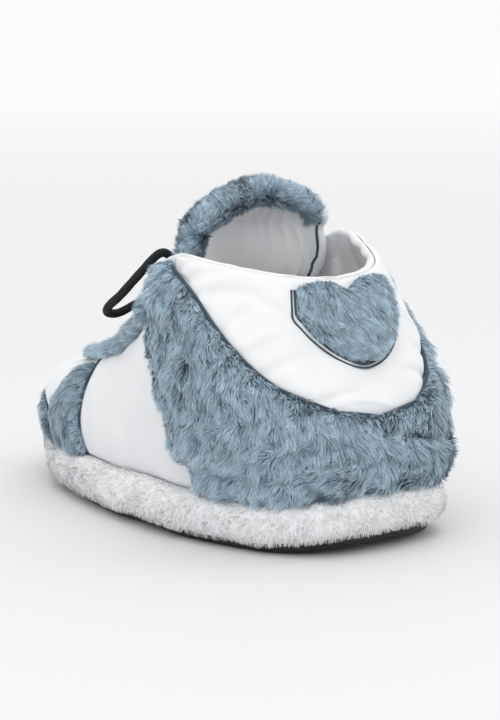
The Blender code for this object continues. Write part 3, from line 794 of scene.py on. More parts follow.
def nap_group():
    """Short nap of brushed cloth: a fine height, and a soft light and dark tone, partly random and partly
    painted shade that falls in the nap's hollows.
    """
    group, given, result = node_group(
        "Brushed Nap",
        [("Place", "NodeSocketVector", (0.0, 0.0, 0.0)), ("Fineness", "NodeSocketFloat", 1.0)],
        [("Height", "NodeSocketFloat"), ("Tone", "NodeSocketFloat")],
    )
    scaled = group.nodes.new("ShaderNodeVectorMath")
    scaled.operation = "SCALE"
    group.links.new(given.outputs["Place"], scaled.inputs[0])
    group.links.new(given.outputs["Fineness"], scaled.inputs["Scale"])
    fine = noise(group, scaled.outputs[0], 1500.0, 3.0, 0.65)
    middle = noise(group, scaled.outputs[0], 320.0, 3.0, 0.6)
    broad = noise(group, scaled.outputs[0], 45.0, 2.0)
    height = maths(group, "ADD", maths(group, "MULTIPLY", fine, 0.55), maths(group, "MULTIPLY", middle, 0.45))
    tone = maths(group, "ADD", maths(group, "MULTIPLY", broad, 0.7), maths(group, "MULTIPLY", middle, 0.3))
    group.links.new(height, result.inputs["Height"])
    group.links.new(tone, result.inputs["Tone"])
    return group


def pile_group():
    """Colour of a strand: U of its pattern map is its tone, V runs from root to tip. The darker root is
    painted shade deep in the pile and the lighter tip a painted highlight.
    """
    group, given, result = node_group(
        "Pile Colour",
        [
            ("Pattern", "NodeSocketVector", (0.0, 0.0, 0.0)),
            ("Root", "NodeSocketColor", (0.1, 0.1, 0.1, 1.0)),
            ("Middle", "NodeSocketColor", (0.3, 0.3, 0.3, 1.0)),
            ("Tip", "NodeSocketColor", (0.6, 0.6, 0.6, 1.0)),
            ("Contrast", "NodeSocketFloat", 0.5),
        ],
        [("Color", "NodeSocketColor")],
    )
    split = group.nodes.new("ShaderNodeSeparateXYZ")
    group.links.new(given.outputs["Pattern"], split.inputs[0])
    run = maths(group, "MULTIPLY", split.outputs["Y"], 2.2)
    low = maths(group, "MINIMUM", run, 1.0)
    high = maths(group, "MAXIMUM", maths(group, "SUBTRACT", run, 1.2), 0.0)
    first = mix_colour(group, low, given.outputs["Root"], given.outputs["Middle"])
    second = mix_colour(group, high, first, given.outputs["Tip"])
    offset = maths(group, "SUBTRACT", split.outputs["X"], 0.5)
    light = maths(group, "ADD", maths(group, "MULTIPLY", offset, given.outputs["Contrast"]), 1.0)
    grey = group.nodes.new("ShaderNodeCombineColor")
    for socket in grey.inputs[:3]:
        group.links.new(light, socket)
    group.links.new(mix_colour(group, 1.0, second, grey.outputs[0], "MULTIPLY"), result.inputs["Color"])
    return group


def set_inputs(node, values):
    for label, value in values.items():
        node.inputs[label].default_value = value


def shader_tree(name):
    finish = bpy.data.materials.new(name)
    finish.use_nodes = True
    tree = finish.node_tree
    return finish, tree, tree.nodes["Principled BSDF"]


def place_group(tree, group):
    node = tree.nodes.new("ShaderNodeGroup")
    node.node_tree = group
    return node


def add_bumps(tree, shader, height, distance, strength):
    relief = tree.nodes.new("ShaderNodeBump")
    set_inputs(relief, {"Strength": strength, "Distance": distance})
    tree.links.new(height, relief.inputs["Height"])
    tree.links.new(relief.outputs[0], shader.inputs["Normal"])


def pile_material(name, group, root, middle, tip, contrast, sheen):
    _, tree, shader = shader_tree(name)
    pattern = tree.nodes.new("ShaderNodeUVMap")
    pattern.uv_map = PATTERN_MAP
    tone = place_group(tree, group)
    tones = {"Root": (*root, 1.0), "Middle": (*middle, 1.0), "Tip": (*tip, 1.0)}
    set_inputs(tone, {**tones, "Contrast": contrast})
    tree.links.new(pattern.outputs[0], tone.inputs["Pattern"])
    tree.links.new(tone.outputs["Color"], shader.inputs["Base Color"])
    set_inputs(shader, {
        "Roughness": 0.62, "Specular IOR Level": 0.35, "Sheen Weight": sheen, "Sheen Roughness": 0.5,
    })


def cloth_material(name, group, colour, shade, bump, sheen=0.25, fineness=1.0, roughness=0.9):
    """Brushed cloth in a colour, with a slightly darker tone in soft random patches and painted shade in the
    hollows of its nap.
    """
    _, tree, shader = shader_tree(name)
    place = tree.nodes.new("ShaderNodeTexCoord")
    nap = place_group(tree, group)
    nap.inputs["Fineness"].default_value = fineness
    tree.links.new(place.outputs["Object"], nap.inputs["Place"])
    tone = mix_colour(tree, nap.outputs["Tone"], (*shade, 1.0), (*colour, 1.0))
    tree.links.new(tone, shader.inputs["Base Color"])
    add_bumps(tree, shader, nap.outputs["Height"], bump, 0.6)
    set_inputs(shader, {
        "Roughness": roughness, "Specular IOR Level": 0.25, "Sheen Weight": sheen, "Sheen Roughness": 0.45,
    })


def lace_material(name, colour, light):
    """Dull black round lace, flecked a little lighter at random. Its braid is in the mesh."""
    _, tree, shader = shader_tree(name)
    place = tree.nodes.new("ShaderNodeTexCoord")
    flecks = noise(tree, place.outputs["Object"], 900.0, 3.0, 0.6)
    tree.links.new(mix_colour(tree, flecks, (*colour, 1.0), (*light, 1.0)), shader.inputs["Base Color"])
    add_bumps(tree, shader, flecks, 0.0003, 1.0)
    set_inputs(shader, {"Roughness": 0.8, "Specular IOR Level": 0.2})


def rubber_material(name, colour):
    _, tree, shader = shader_tree(name)
    place = tree.nodes.new("ShaderNodeTexCoord")
    grain = noise(tree, place.outputs["Object"], 700.0, 4.0, 0.6)
    shader.inputs["Base Color"].default_value = (*colour, 1.0)
    rough = maths(tree, "ADD", maths(tree, "MULTIPLY", grain, 0.25), 0.5)
    tree.links.new(rough, shader.inputs["Roughness"])
    add_bumps(tree, shader, grain, 0.0003, 0.5)


# Forms that more than one piece shares

def stacked_surface(levels, share_shift=0.0):
    """Surface through loops stacked from a list of (growth, height) pairs round the sole."""
    levels = np.array([(i / (len(levels) - 1), *level) for i, level in enumerate(levels)])

    def surface(u, v):
        grow, height = smooth_table(levels, v).T
        x, y, _, _ = sole_edge(2 * np.mod(u, 1.0) + share_shift, grow)
        return np.stack([x, y, sole_lift(y) + height], 1) + PLACE

    return surface


def tongue_row(share):
    """The tongue's outer face across the throat: its edges are tucked under the shell."""
    inside = -(WALL_THICKNESS + TONGUE_CLEARANCE)
    edges = [skin_point(s, h, inside) for s in (share, 2 - share) for h in TUCK_HEIGHTS]
    left_low, left, right_low, right = edges
    middle = (left + right) / 2
    slope = (THROAT_END - share) / (THROAT_END - THROAT_START)
    width = np.linalg.norm(right - left)
    bulge = np.array([0, 0.10 + 0.85 * slope, 1.0 - 0.55 * slope]) * width * TONGUE_BULGE
    row = []
    for w in TONGUE_ACROSS:
        if abs(w) > TUCK_FROM:
            low, near = (left_low, left) if w < 0 else (right_low, right)
            row.append(near + (low - near) * (abs(w) - TUCK_FROM) / (1 - TUCK_FROM))
        else:
            arch = bulge * (1 - (w / TUCK_FROM) ** 2) ** 1.7
            row.append(middle + (right - left) * w / TUCK_FROM / 2 + arch)
    return np.array(row)


def tongue_sections():
    """Outer face of the tongue, from its end under the throat to its free top edge."""
    sections = [tongue_row(share) for share in np.linspace(THROAT_END, THROAT_START, 9)]
    for height, reach, width, set_back, drop in TONGUE_TOP:
        x = TONGUE_ACROSS * width * TONGUE_WIDTH / 2
        y = (reach - set_back * TONGUE_ACROSS**2) * HALF_LENGTH
        z = (height - drop * TONGUE_ACROSS**2) * TONGUE_HEIGHT
        sections.append(np.stack([x, y, z], 1) + PLACE)
    return np.array(sections)


def refine(grid, rows, columns):
    """A finer grid of points by smooth curves through a coarse one."""
    for fine in (rows, columns):
        count = grid.shape[0]
        flat = np.column_stack([np.arange(count), grid.reshape(count, -1)])
        grid = smooth_table(flat, np.linspace(0, count - 1, fine)).reshape(fine, -1, 3)
        grid = np.swapaxes(grid, 0, 1)
    return grid


def tongue_skins(rows=61, columns=49):
    """The tongue's outer and inner faces as fine grids."""
    outer = refine(tongue_sections(), rows, columns)
    out = unit(np.cross(np.gradient(outer, axis=0), np.gradient(outer, axis=1)))
    inner = outer - out * TONGUE_THICKNESS
    for _ in range(24):
        inner[1:-1, 1:-1] = (inner[:-2, 1:-1] + inner[2:, 1:-1] + inner[1:-1, :-2] + inner[1:-1, 2:]) / 4
    return outer, inner, out


def grid_surface(grid):
    """surface(u, v) that reads a grid of points."""
    rows, columns = grid.shape[:2]

    def surface(u, v):
        r, c = v * (rows - 1), u * (columns - 1)
        r0 = np.clip(r.astype(int), 0, rows - 2)
        c0 = np.clip(c.astype(int), 0, columns - 2)
        fr, fc = (r - r0)[:, None], (c - c0)[:, None]
        low = grid[r0, c0] * (1 - fc) + grid[r0, c0 + 1] * fc
        high = grid[r0 + 1, c0] * (1 - fc) + grid[r0 + 1, c0 + 1] * fc
        return low * (1 - fr) + high * fr

    return surface


def eyelet(share):
    """Where the lace lies on an eyestay."""
    stand = OVERLAY_GAP + EYESTAY_FUR * (FUR_DEPTH + LOCK_RISE) + LACE_DIAMETER / 2
    return skin_point(share, BAR_HEIGHT, stand)


def lace_bar(share):
    """One bar of the lace, arched over the tongue from eyelet to eyelet, and its upward direction."""
    left, right = eyelet(share), eyelet(2 - share)
    row = tongue_row(share)
    middle = (left + right) / 2
    up = unit(row[6] - (row[1] + row[11]) / 2)
    bow = max(0.0, float(np.dot(row[6] - middle, up))) + LOCK_RISE + LACE_DIAMETER
    return [middle + (right - left) * w / 2 + up * bow * (1 - w * w) for w in np.linspace(-1, 1, 7)], up


def knot_place():
    bar, up = lace_bar(LACE_ROWS[-1])
    reach = 1 / np.linalg.norm(up / np.array(KNOT_SIZE))
    return bar[3] + up * (LACE_DIAMETER / 2 + reach + FIT_GAP)


# Settings

def colour(name, description, default):
    return bpy.props.FloatVectorProperty(
        name=name, description=description, default=default, subtype="COLOR", size=3, min=0, max=1,
    )


def power(name, description, default):
    return bpy.props.FloatProperty(name=name, description=description, default=default, min=0.0, unit="POWER")


class SlipperFur(bpy.types.PropertyGroup):
    density: bpy.props.FloatProperty(
        name="Density", description="Share of the full number of strands", default=1.0, min=0.05, max=1.0,
        subtype="FACTOR",
    )
    # Painted light: the root colour is painted shade deep in the fur and the tip colour a painted highlight;
    # the middle colour is the fur's own.
    root_shade_colour: colour("Root", "Colour deep in the fur", (0.115, 0.185, 0.245))
    middle_colour: colour("Middle", "Colour half way up a strand", (0.350, 0.490, 0.600))
    tip_highlight_colour: colour("Tip", "Colour at a strand's tip", (0.640, 0.790, 0.880))


class SlipperCloth(bpy.types.PropertyGroup):
    white: colour("White", "Collar panel and toe box", (0.81, 0.82, 0.83))
    # Painted shade: the side panels' white cloth is painted greyer for the shade on them.
    side: colour("Side", "Smooth side panels", (0.77, 0.78, 0.795))
    lining: colour("Lining", "Grey lining of the tongue and the inside", (0.86, 0.865, 0.88))
    seam: colour("Seams", "Dark edge along the seams", (0.06, 0.09, 0.12))


class SlipperLace(bpy.types.PropertyGroup):
    diameter: bpy.props.FloatProperty(
        name="Diameter", description="Thickness of the round lace", default=LACE_DIAMETER, unit="LENGTH",
        min=0.002, max=0.008,
    )
    colour: colour("Lace", "Colour of the lace", (0.012, 0.012, 0.013))


class SlipperStudio(bpy.types.PropertyGroup):
    floor: colour("Floor", "Pale floor under the shoe", (0.765, 0.765, 0.775))
    # Painted light: the far floor is painted lighter than the near floor, where the lamps add light, so that
    # the floor looks evenly bright.
    far_floor_painted_light: colour("Backdrop", "Colour of the floor far behind", (0.96, 0.96, 0.96))
    sky_strength: bpy.props.FloatProperty(
        name="Sky", description="Strength of the even light all round", default=1.0, min=0.0, max=4.0,
    )
    top_power: power("Top", "Power of the wide light overhead", 5.0)
    key_power: power("Key", "Power of the large light beside the camera", 8.0)
    fill_power: power("Fill", "Power of the soft light from the right", 2.5)


# Operators

class SLIPPER_OT_materials(bpy.types.Operator):
    """Makes the fur, plush, cloth, lace and rubber finishes"""
    bl_idname = "slipper.materials"
    bl_label = "Finishes"

    def execute(self, context):
        fur, cloth, lace = context.scene.slipper_fur, context.scene.slipper_cloth, context.scene.slipper_lace
        nap, pile = nap_group(), pile_group()
        root, middle, tip = fur.root_shade_colour, fur.middle_colour, fur.tip_highlight_colour
        # root and tip carry painted shade at the roots and painted highlights at the tips of the fur and of
        # the plush.
        pile_material("fur", pile, root, middle, tip, 0.75, 0.25)
        pile_material("plush", pile, (0.93, 0.935, 0.95), (0.96, 0.965, 0.975), (0.98, 0.98, 0.99), 0.03, 0.2)
        # The fur backing is painted darker than the strands, with the roots' painted shade in its nap:
        # painted shade under the pile.
        cloth_material("fur backing in painted shade", nap, [c * 0.8 for c in middle], root, 0.0016, 0.1, 0.35)
        cloth_material("plush backing", nap, (0.96, 0.965, 0.975), (0.92, 0.93, 0.95), 0.0005, 0.2, 0.6)
        cloth_material("white cloth", nap, cloth.white, [c * 0.955 for c in cloth.white], 0.0003)
        # The side cloth is the white cloth painted darker: painted shade on the side panels.
        cloth_material("side cloth", nap, cloth.side, [c * 0.955 for c in cloth.side], 0.0003)
        cloth_material("lining", nap, cloth.lining, [c * 0.90 for c in cloth.lining], 0.0004, 0.3, 0.8)
        cloth_material("seam edge", nap, cloth.seam, [c * 0.7 for c in cloth.seam], 0.0002, 0.1)
        lace_material("lace", lace.colour, [min(1.0, c * 2.6) for c in lace.colour])
        rubber_material("rubber", (0.010, 0.010, 0.011))
        return {"FINISHED"}


class SLIPPER_OT_sole(bpy.types.Operator):
    """Black outsole, white plush band and grey insole"""
    bl_idname = "slipper.sole"
    bl_label = "Sole"

    def execute(self, context):
        t, base = MIDSOLE_THICKNESS, OUTSOLE_THICKNESS
        outsole = stacked_surface([
            (-0.0040, 0.0), (-0.0020, 0.04 * base), (-0.0004, 0.20 * base), (0.0, 0.42 * base),
            (-0.0006, 0.56 * base), (-0.0002, 0.72 * base), (-0.0010, base - FIT_GAP),
        ])
        closed = {"wrapped": True, "turned": True, "capped": True}
        place_piece(bent_grid("outsole_rubber", outsole, **closed), "rubber", ["outsole"])

        band_levels = [
            (0.0010, base), (0.0022, base - 0.55 * BAND_LIP), (0.55 * BAND_SWELL, base - BAND_LIP),
            (0.92 * BAND_SWELL, base + 0.10 * t), (BAND_SWELL, base + 0.42 * t),
            (0.88 * BAND_SWELL, base + 0.74 * t), (0.55 * BAND_SWELL, base + 0.95 * t), (0.0, base + t),
        ]
        band_levels = [(grow - 0.0012, height) for grow, height in band_levels]
        band = stacked_surface(band_levels)

        def soft_band(u, v):
            points = band(u, v)
            _, _, nx, ny = sole_edge(2 * np.mod(u, 1.0))
            out = np.stack([nx, ny, np.zeros_like(nx)], 1)
            ripple = 0.0006 * waves(points, 0.020, 5) + 0.0003 * waves(points, 0.007, 6)
            return points + out * (ripple * np.sin(v * math.pi))[:, None]

        item = place_piece(bent_grid("band_foam", soft_band, **closed), "plush backing", ["midsole"])

        def down(point, across, u, v):
            along = np.where(v < 0.25, 0.3, 0.6)[:, None]
            return across * along * np.sign(0.3 + waves(point, 0.05, 9))[:, None] + np.array([0.0, 0.0, -1.0])

        grid = sampled(lambda u, v: soft_band(1 - u, v), 241, 16, up=(0.22, 0.97))
        grow_fur("band_plush", grid, down, COATS["band_plush"], "plush")

        inset = -(FEATHER_INSET + WALL_THICKNESS + FIT_GAP + 0.0015)
        low = FEATHER_HEIGHT + FIT_GAP
        insole = stacked_surface([
            (inset - 0.0010, low), (inset, low + 0.35 * INSOLE_THICKNESS),
            (inset - 0.0004, low + 0.8 * INSOLE_THICKNESS), (inset - 0.0020, low + INSOLE_THICKNESS),
        ])
        place_piece(bent_grid("insole_cloth", insole, **closed), "lining", ["insole"])
        return {"FINISHED"}


class SLIPPER_OT_shell(bpy.types.Operator):
    """Padded white shell with its rolled collar edge, and the lining inside it"""
    bl_idname = "slipper.shell"
    bl_label = "Shell and lining"

    def execute(self, context):
        half = WALL_THICKNESS / 2

        def wall(u, v):
            share = 2 * np.mod(u, 1.0)
            outside, roll = v < ROLL_START, (v >= ROLL_START) & (v < ROLL_END)
            down = (v - ROLL_END) / INSIDE_PART * INSIDE_DEPTH
            height = np.where(outside, v / ROLL_START, np.where(roll, 1.0, 1 - down))
            turn = np.clip((v - ROLL_START) / ROLL_PART, 0, 1) * math.pi
            point, out, rise = shell_frame(share, height)
            lift = -half + half * np.cos(turn)
            crest = np.sin(turn) * half * 0.9
            fold = creases(TOE_CREASES, np.mod(share, 2.0), height, 0.05) * outside
            soft = 0.0004 * waves(point, 0.016, 21) * outside * np.clip(height * 4, 0, 1)
            ankle = 0.0009 * waves(point * [1, 1, 0.25], 0.011, 22) * (v > 0.70)
            return point + out * (lift + fold + soft + ankle)[:, None] + rise * crest[:, None]

        mesh = bent_grid("shell_cloth", wall, wrapped=True, turned=True)
        item = place_piece(mesh, "white cloth", ["upper"])

        def inside(u, v):
            point, out, _ = shell_frame(2 * np.mod(u, 1.0), 0.90 * v)
            gather = 0.0010 * waves(point * [1, 1, 0.2], 0.010, 23) + 0.0008 * waves(point, 0.02, 24)
            return point + out * (-WALL_THICKNESS + 0.0004 + gather * np.clip(v * 3, 0, 1))[:, None]

        place_piece(bent_grid("shell_lining", inside, wrapped=True), "lining")
        return {"FINISHED"}


class SLIPPER_OT_collar(bpy.types.Operator):
    """Smooth padded collar panel with its creases, and the dark edge along its seam"""
    bl_idname = "slipper.collar"
    bl_label = "Collar panel"

    def execute(self, context):
        def surface(u, v):
            share = COLLAR_REACH - 2 * COLLAR_REACH * u
            low = table_value(COLLAR_SEAM, np.abs(share)) - 0.004
            height = low + (COLLAR_TOP - low) * v
            across, least, gain, roll = COLLAR_SIZE
            edge = rolled_edge(u, v, across, least + gain * (1 - low), roll)
            point, out, _ = shell_frame(share, height)
            body = COLLAR_PADDING * edge
            body = body + 1.4 * creases(COLLAR_CREASES, share, height) * np.clip(edge * 1.2, 0, 1)
            body = body + 0.0006 * waves(point, 0.022, 31) * edge
            return point + out * (PANEL_GAP + body)[:, None]

        item = place_piece(bent_grid("collar_cloth", surface), "white cloth", ["collar_panel"])

        share = np.linspace(-0.362, 0.362, 260)
        height = table_value(COLLAR_SEAM, np.abs(share)) + 0.004
        route = skin(share, height, np.full(share.shape, 0.0038))
        place_piece(tube("collar_seam", route, 0.0010, 8), "seam edge")
        return {"FINISHED"}


class SLIPPER_OT_sides(bpy.types.Operator):
    """Smooth side panels between the fur quarter and the toe guard, with their dark front seam"""
    bl_idname = "slipper.sides"
    bl_label = "Side panels"

    def execute(self, context):
        for word, sign in (("outer", 1), ("inner", -1)):
            def surface(u, v, sign=sign):
                height = SIDE_HEIGHTS[0] + SIDE_HEIGHTS[1] * v
                back = table_value(QUARTER_FRONT, height) - SIDE_INSET
                front = table_value(GUARD_BACK, height) - 0.002
                folded = back + (front - back) * (1 - u if sign > 0 else u)
                edge = rolled_edge(u, v, *SIDE_SIZE)
                point, out, _ = shell_frame(sign * folded, height)
                body = PANEL_THICKNESS * edge + creases(SIDE_CREASES, folded, height, 0.08) * edge
                body = body + 0.0007 * waves(point, 0.030, 41) * edge
                return point + out * (PANEL_GAP + body)[:, None]

            item = place_piece(bent_grid(f"side_cloth_{word}", surface), "side cloth", [f"side_panel_{word}"])

            height = np.linspace(0.06, 0.83, 90)
            share = sign * (table_value(GUARD_BACK, height) + 0.001)
            route = skin(share, height, np.full(height.shape, 0.0022))
            place_piece(tube(f"side_seam_{word}", route, 0.0006, 8), "seam edge")
        return {"FINISHED"}


class SLIPPER_OT_quarter(bpy.types.Operator):
    """Fur quarter round the heel and both sides"""
    bl_idname = "slipper.quarter"
    bl_label = "Fur quarter"

    def execute(self, context):
        def share_at(u, v):
            front = table_value(QUARTER_FRONT, v) - QUARTER_INSET
            return front - 2 * front * u

        def height_at(u, v):
            share = np.abs(share_at(u, v))
            seam = table_value(COLLAR_SEAM, share) - 0.004
            climb = np.clip((share - COLLAR_REACH) / 0.015, 0, 1)
            high = np.where(share < COLLAR_REACH, seam, seam + (0.985 - seam) * climb)
            return 0.045 + (high - 0.045) * v

        def base(u, v):
            share, height = share_at(u, v), height_at(u, v)
            edge = rolled_edge(u, v, *QUARTER_SIZE)
            point, out, _ = shell_frame(share, height)
            lump = 0.0012 * waves(point, 0.014, 51) + 0.75 * creases(FUR_PARTINGS, share, height)
            return point + out * (FUR_GAP + (FUR_DEPTH * LONG_BACKING + lump) * edge)[:, None]

        place_piece(bent_grid("quarter_base", base), "fur backing in painted shade", ["quarter_fur"])

        def combed(point, across, u, v):
            share, height = share_at(u, v), height_at(u, v)
            low_heel = np.exp(-((v / 0.42) ** 2)) * np.exp(-(((share - 0.02) / 0.30) ** 4))
            level = (0.25 + 1.7 * low_heel)[:, None]
            lie = unit(-across * level + np.array([0.0, -0.25, -1.0]) * (1.15 - 0.75 * low_heel)[:, None])
            _, out, rise = shell_frame(share, height)
            along = np.cross(out, rise)

            def slope(s, h):
                ahead = creases(FUR_PARTINGS, share + s, height + h)
                return (ahead - creases(FUR_PARTINGS, share - s, height - h)) / (2 * SLOPE_STEP)

            sideways, upward = slope(SLOPE_STEP / HALF_LOOP, 0.0), slope(0.0, SLOPE_STEP / WALL_RUN)
            return lie + (along * sideways[:, None] + rise * upward[:, None]) * PARTING_TURN

        for word, start, end in (("outer", 0.0, QUARTER_SPLIT), ("inner", QUARTER_SPLIT, 1.0)):
            grid = sampled(base, 150, 50, across=(start, end))

            def comb_half(point, across, u, v, start=start, end=end):
                return combed(point, across, start + (end - start) * u, v)

            name = f"quarter_fur_{word}"
            grow_fur(name, grid, comb_half, COATS[name])
        return {"FINISHED"}


class SLIPPER_OT_eyestays(bpy.types.Operator):
    """Narrow fur strips along the throat"""
    bl_idname = "slipper.eyestays"
    bl_label = "Eyestays"

    def execute(self, context):
        for word, sign in (("outer", 1), ("inner", -1)):
            def base(u, v, sign=sign):
                along = 1 - u if sign > 0 else u
                folded = EYESTAY_SHARES[0] + (EYESTAY_SHARES[1] - EYESTAY_SHARES[0]) * along
                low = EYESTAY_HEIGHTS[0] - 0.045 * np.exp(-(((folded - 0.68) / 0.06) ** 2))
                height = low + (EYESTAY_HEIGHTS[1] - low) * v
                edge = rolled_edge(u, v, *EYESTAY_SIZE)
                point, out, _ = shell_frame(sign * folded, height)
                return point + out * (FUR_GAP + FUR_DEPTH * SHORT_BACKING * edge)[:, None]

            place_piece(bent_grid(f"eyestay_base_{word}", base), "fur backing in painted shade", [f"eyestay_{word}"])

            def combed(point, across, u, v, sign=sign):
                return across * sign * -0.8 + np.array([0.0, 0.2, -0.6])

            grid = sampled(base, 80, 12)
            grow_fur(f"eyestay_fur_{word}", grid, combed, COATS["eyestay_fur"])
        return {"FINISHED"}


class SLIPPER_OT_guard(bpy.types.Operator):
    """Fur guard round the toe with its two wings"""
    bl_idname = "slipper.guard"
    bl_label = "Toe guard"

    def execute(self, context):
        reach = 1.0 - GUARD_EDGE[0][0] + 0.003

        def base(u, v):
            share = 1.0 + reach * (1 - 2 * u)
            folded = 1 - np.abs(1 - share)
            height = GUARD_FOOT + (table_value(GUARD_EDGE, folded) - GUARD_FOOT) * v
            edge = rolled_edge(u, v, *GUARD_SIZE)
            point, out, _ = shell_frame(share, height)
            return point + out * (FUR_GAP + FUR_DEPTH * SHORT_BACKING * edge)[:, None]

        place_piece(bent_grid("guard_base", base), "fur backing in painted shade", ["toe_guard"])

        def combed(point, across, u, v):
            back = np.where(u < 0.5, -1.0, 1.0)[:, None]
            return across * back * 0.35 + np.array([0.0, 0.0, -1.0])

        grid = sampled(base, 221, 20)
        grow_fur("guard_fur", grid, combed, COATS["guard_fur"])
        return {"FINISHED"}


class SLIPPER_OT_heel_tab(bpy.types.Operator):
    """Heart-shaped fur tab on the back of the collar, with its dark double edge"""
    bl_idname = "slipper.heel_tab"
    bl_label = "Heel tab"

    def execute(self, context):
        def outline(side):
            low = 0.650 + 0.215 * np.abs(side) ** 2.2
            high = 0.950 + 0.036 * np.sin(np.clip(np.abs(side), 0, 1) * math.pi)
            return low, high

        def base(u, v):
            side = 1 - 2 * u
            low, high = outline(side)
            height = low + (high - low) * v
            edge = rolled_edge(u, v, *TAB_SIZE)
            point, out, _ = shell_frame(side * TAB_REACH, height)
            return point + out * (COLLAR_PADDING + 0.0010 + FUR_DEPTH * SHORT_BACKING * edge)[:, None]

        place_piece(bent_grid("tab_base", base), "fur backing in painted shade", ["heel_tab"])

        def combed(point, across, u, v):
            return across * (0.9 * (u - 0.35))[:, None] + np.array([0.25, 0.0, -0.9])

        grid = sampled(base, 40, 30)
        grow_fur("tab_fur", grid, combed, COATS["tab_fur"])

        turn = np.linspace(0, 1, 60)
        side = np.concatenate([np.full(30, 1.0), 1 - 2 * turn, np.full(30, -1.0)])
        low, high = outline(side)
        rise = np.concatenate([np.linspace(0.96, 0, 30), np.zeros(60), np.linspace(0, 0.96, 30)])
        height = low + (high - low) * rise
        for number, (grow, radius) in enumerate(((0.0012, 0.0007), (0.0034, 0.0006))):
            share = side * (TAB_REACH + grow / HALF_LOOP)
            drop = np.where(rise < 0.02, grow / WALL_RUN, 0.0)
            route = skin(share, height - drop, np.full(share.shape, COLLAR_PADDING + 0.0009))
            route, _ = route_through(route[::3], 0.0012)
            place_piece(tube(f"tab_edge_{number + 1}", route, radius, 8), "seam edge")
        return {"FINISHED"}


class SLIPPER_OT_tongue(bpy.types.Operator):
    """Fur tongue with a thick roll at its top, and its gathered grey lining"""
    bl_idname = "slipper.tongue"
    bl_label = "Tongue"

    def execute(self, context):
        outer, inner, out = tongue_skins()
        columns = outer.shape[1]
        turn = np.linspace(0, math.pi, 9)[1:-1]
        top, low_top = outer[-1], inner[-1]
        middle, reach = (top + low_top) / 2, (top - low_top) / 2
        rise = unit(outer[-1] - outer[-3]) * TONGUE_THICKNESS / 2
        roll = np.array([middle + reach * math.cos(a) + rise * math.sin(a) for a in turn])
        body = np.concatenate([outer, roll, inner[::-1]])
        body = np.concatenate([body, body[:1]])
        mesh = bent_grid("tongue_base", grid_surface(body), (columns - 1, len(body) - 1))
        bm = bmesh.new()
        bm.from_mesh(mesh)
        bmesh.ops.remove_doubles(bm, verts=bm.verts, dist=1e-6)
        bmesh.ops.holes_fill(bm, edges=[e for e in bm.edges if e.is_boundary], sides=0)
        bmesh.ops.recalc_face_normals(bm, faces=bm.faces)
        bm.to_mesh(mesh)
        bm.free()
        place_piece(mesh, "fur backing in painted shade", ["tongue"])

        def combed(point, across, u, v):
            return np.tile([0.0, 0.35, 1.0], (len(u), 1)) + across * (1.6 * (u - 0.5))[:, None]

        grow_fur("tongue_fur", outer[1:58, -3:2:-1], combed, COATS["tongue_fur"])

        middle = (outer + inner) / 2
        edge = np.concatenate([middle[37:58:3, 2], middle[59, 5:-5:4], middle[46:58:3, -3][::-1]])
        route, _ = route_through(edge, 0.0025)
        run = np.linspace(0, 1, len(route))
        thick = 0.0042 + 0.0012 * np.sin(run * math.pi) ** 1.5
        _, side, other = route_axes(route)
        a = np.linspace(0, 2 * math.pi, 25)[:, None, None]
        rim = route + (side * np.cos(a) + other * np.sin(a)) * thick[:, None]
        rim[..., 2] -= 0.0010 + 0.0015 * np.sin(run * math.pi)
        place_piece(bent_grid("tongue_roll", grid_surface(rim), (len(route) - 1, 24)), "fur backing in painted shade")
        heart = route[len(route) // 2] * [1, 1, 0.62]

        def rolled(point, across, u, v):
            return unit(point - heart) * [1.0, 0.4, 0.9] + across * (0.9 * waves(point, 0.02, 93))[:, None]

        grow_fur("tongue_roll_fur", rim[::-1], rolled, COATS["tongue_roll_fur"])

        def gathered(u, v):
            across, along = LINING_ACROSS[0] + LINING_ACROSS[1] * u, LINING_UP[0] + LINING_UP[1] * v
            point = grid_surface(inner)(across, along)
            away = -unit(grid_surface(out)(across, along))
            fold = 0.0006 * waves(point, 0.018, 95)
            for place, foot, width, height in LINING_PLEATS:
                fold = fold + height * np.exp(-(((u - place - (foot - place) * (1 - v)) / width) ** 2))
            return point + away * (0.0014 + fold * (0.25 + 0.75 * np.clip(v * 1.6 - 0.3, 0, 1)))[:, None]

        route = gathered(np.full(40, 1.0), np.linspace(0.98, 0.40, 40))
        place_piece(tube("tongue_seam", route, 0.0008, 8), "seam edge")

        route, _ = route_through(inner[24:52:3, -1] * 0.7 + outer[24:52:3, -1] * 0.3, 0.002)
        place_piece(tube("tongue_piping", route, 0.0036, 16, rounded=0.004), "lining")

        item = place_piece(bent_grid("tongue_lining", gathered), "lining")
        return {"FINISHED"}


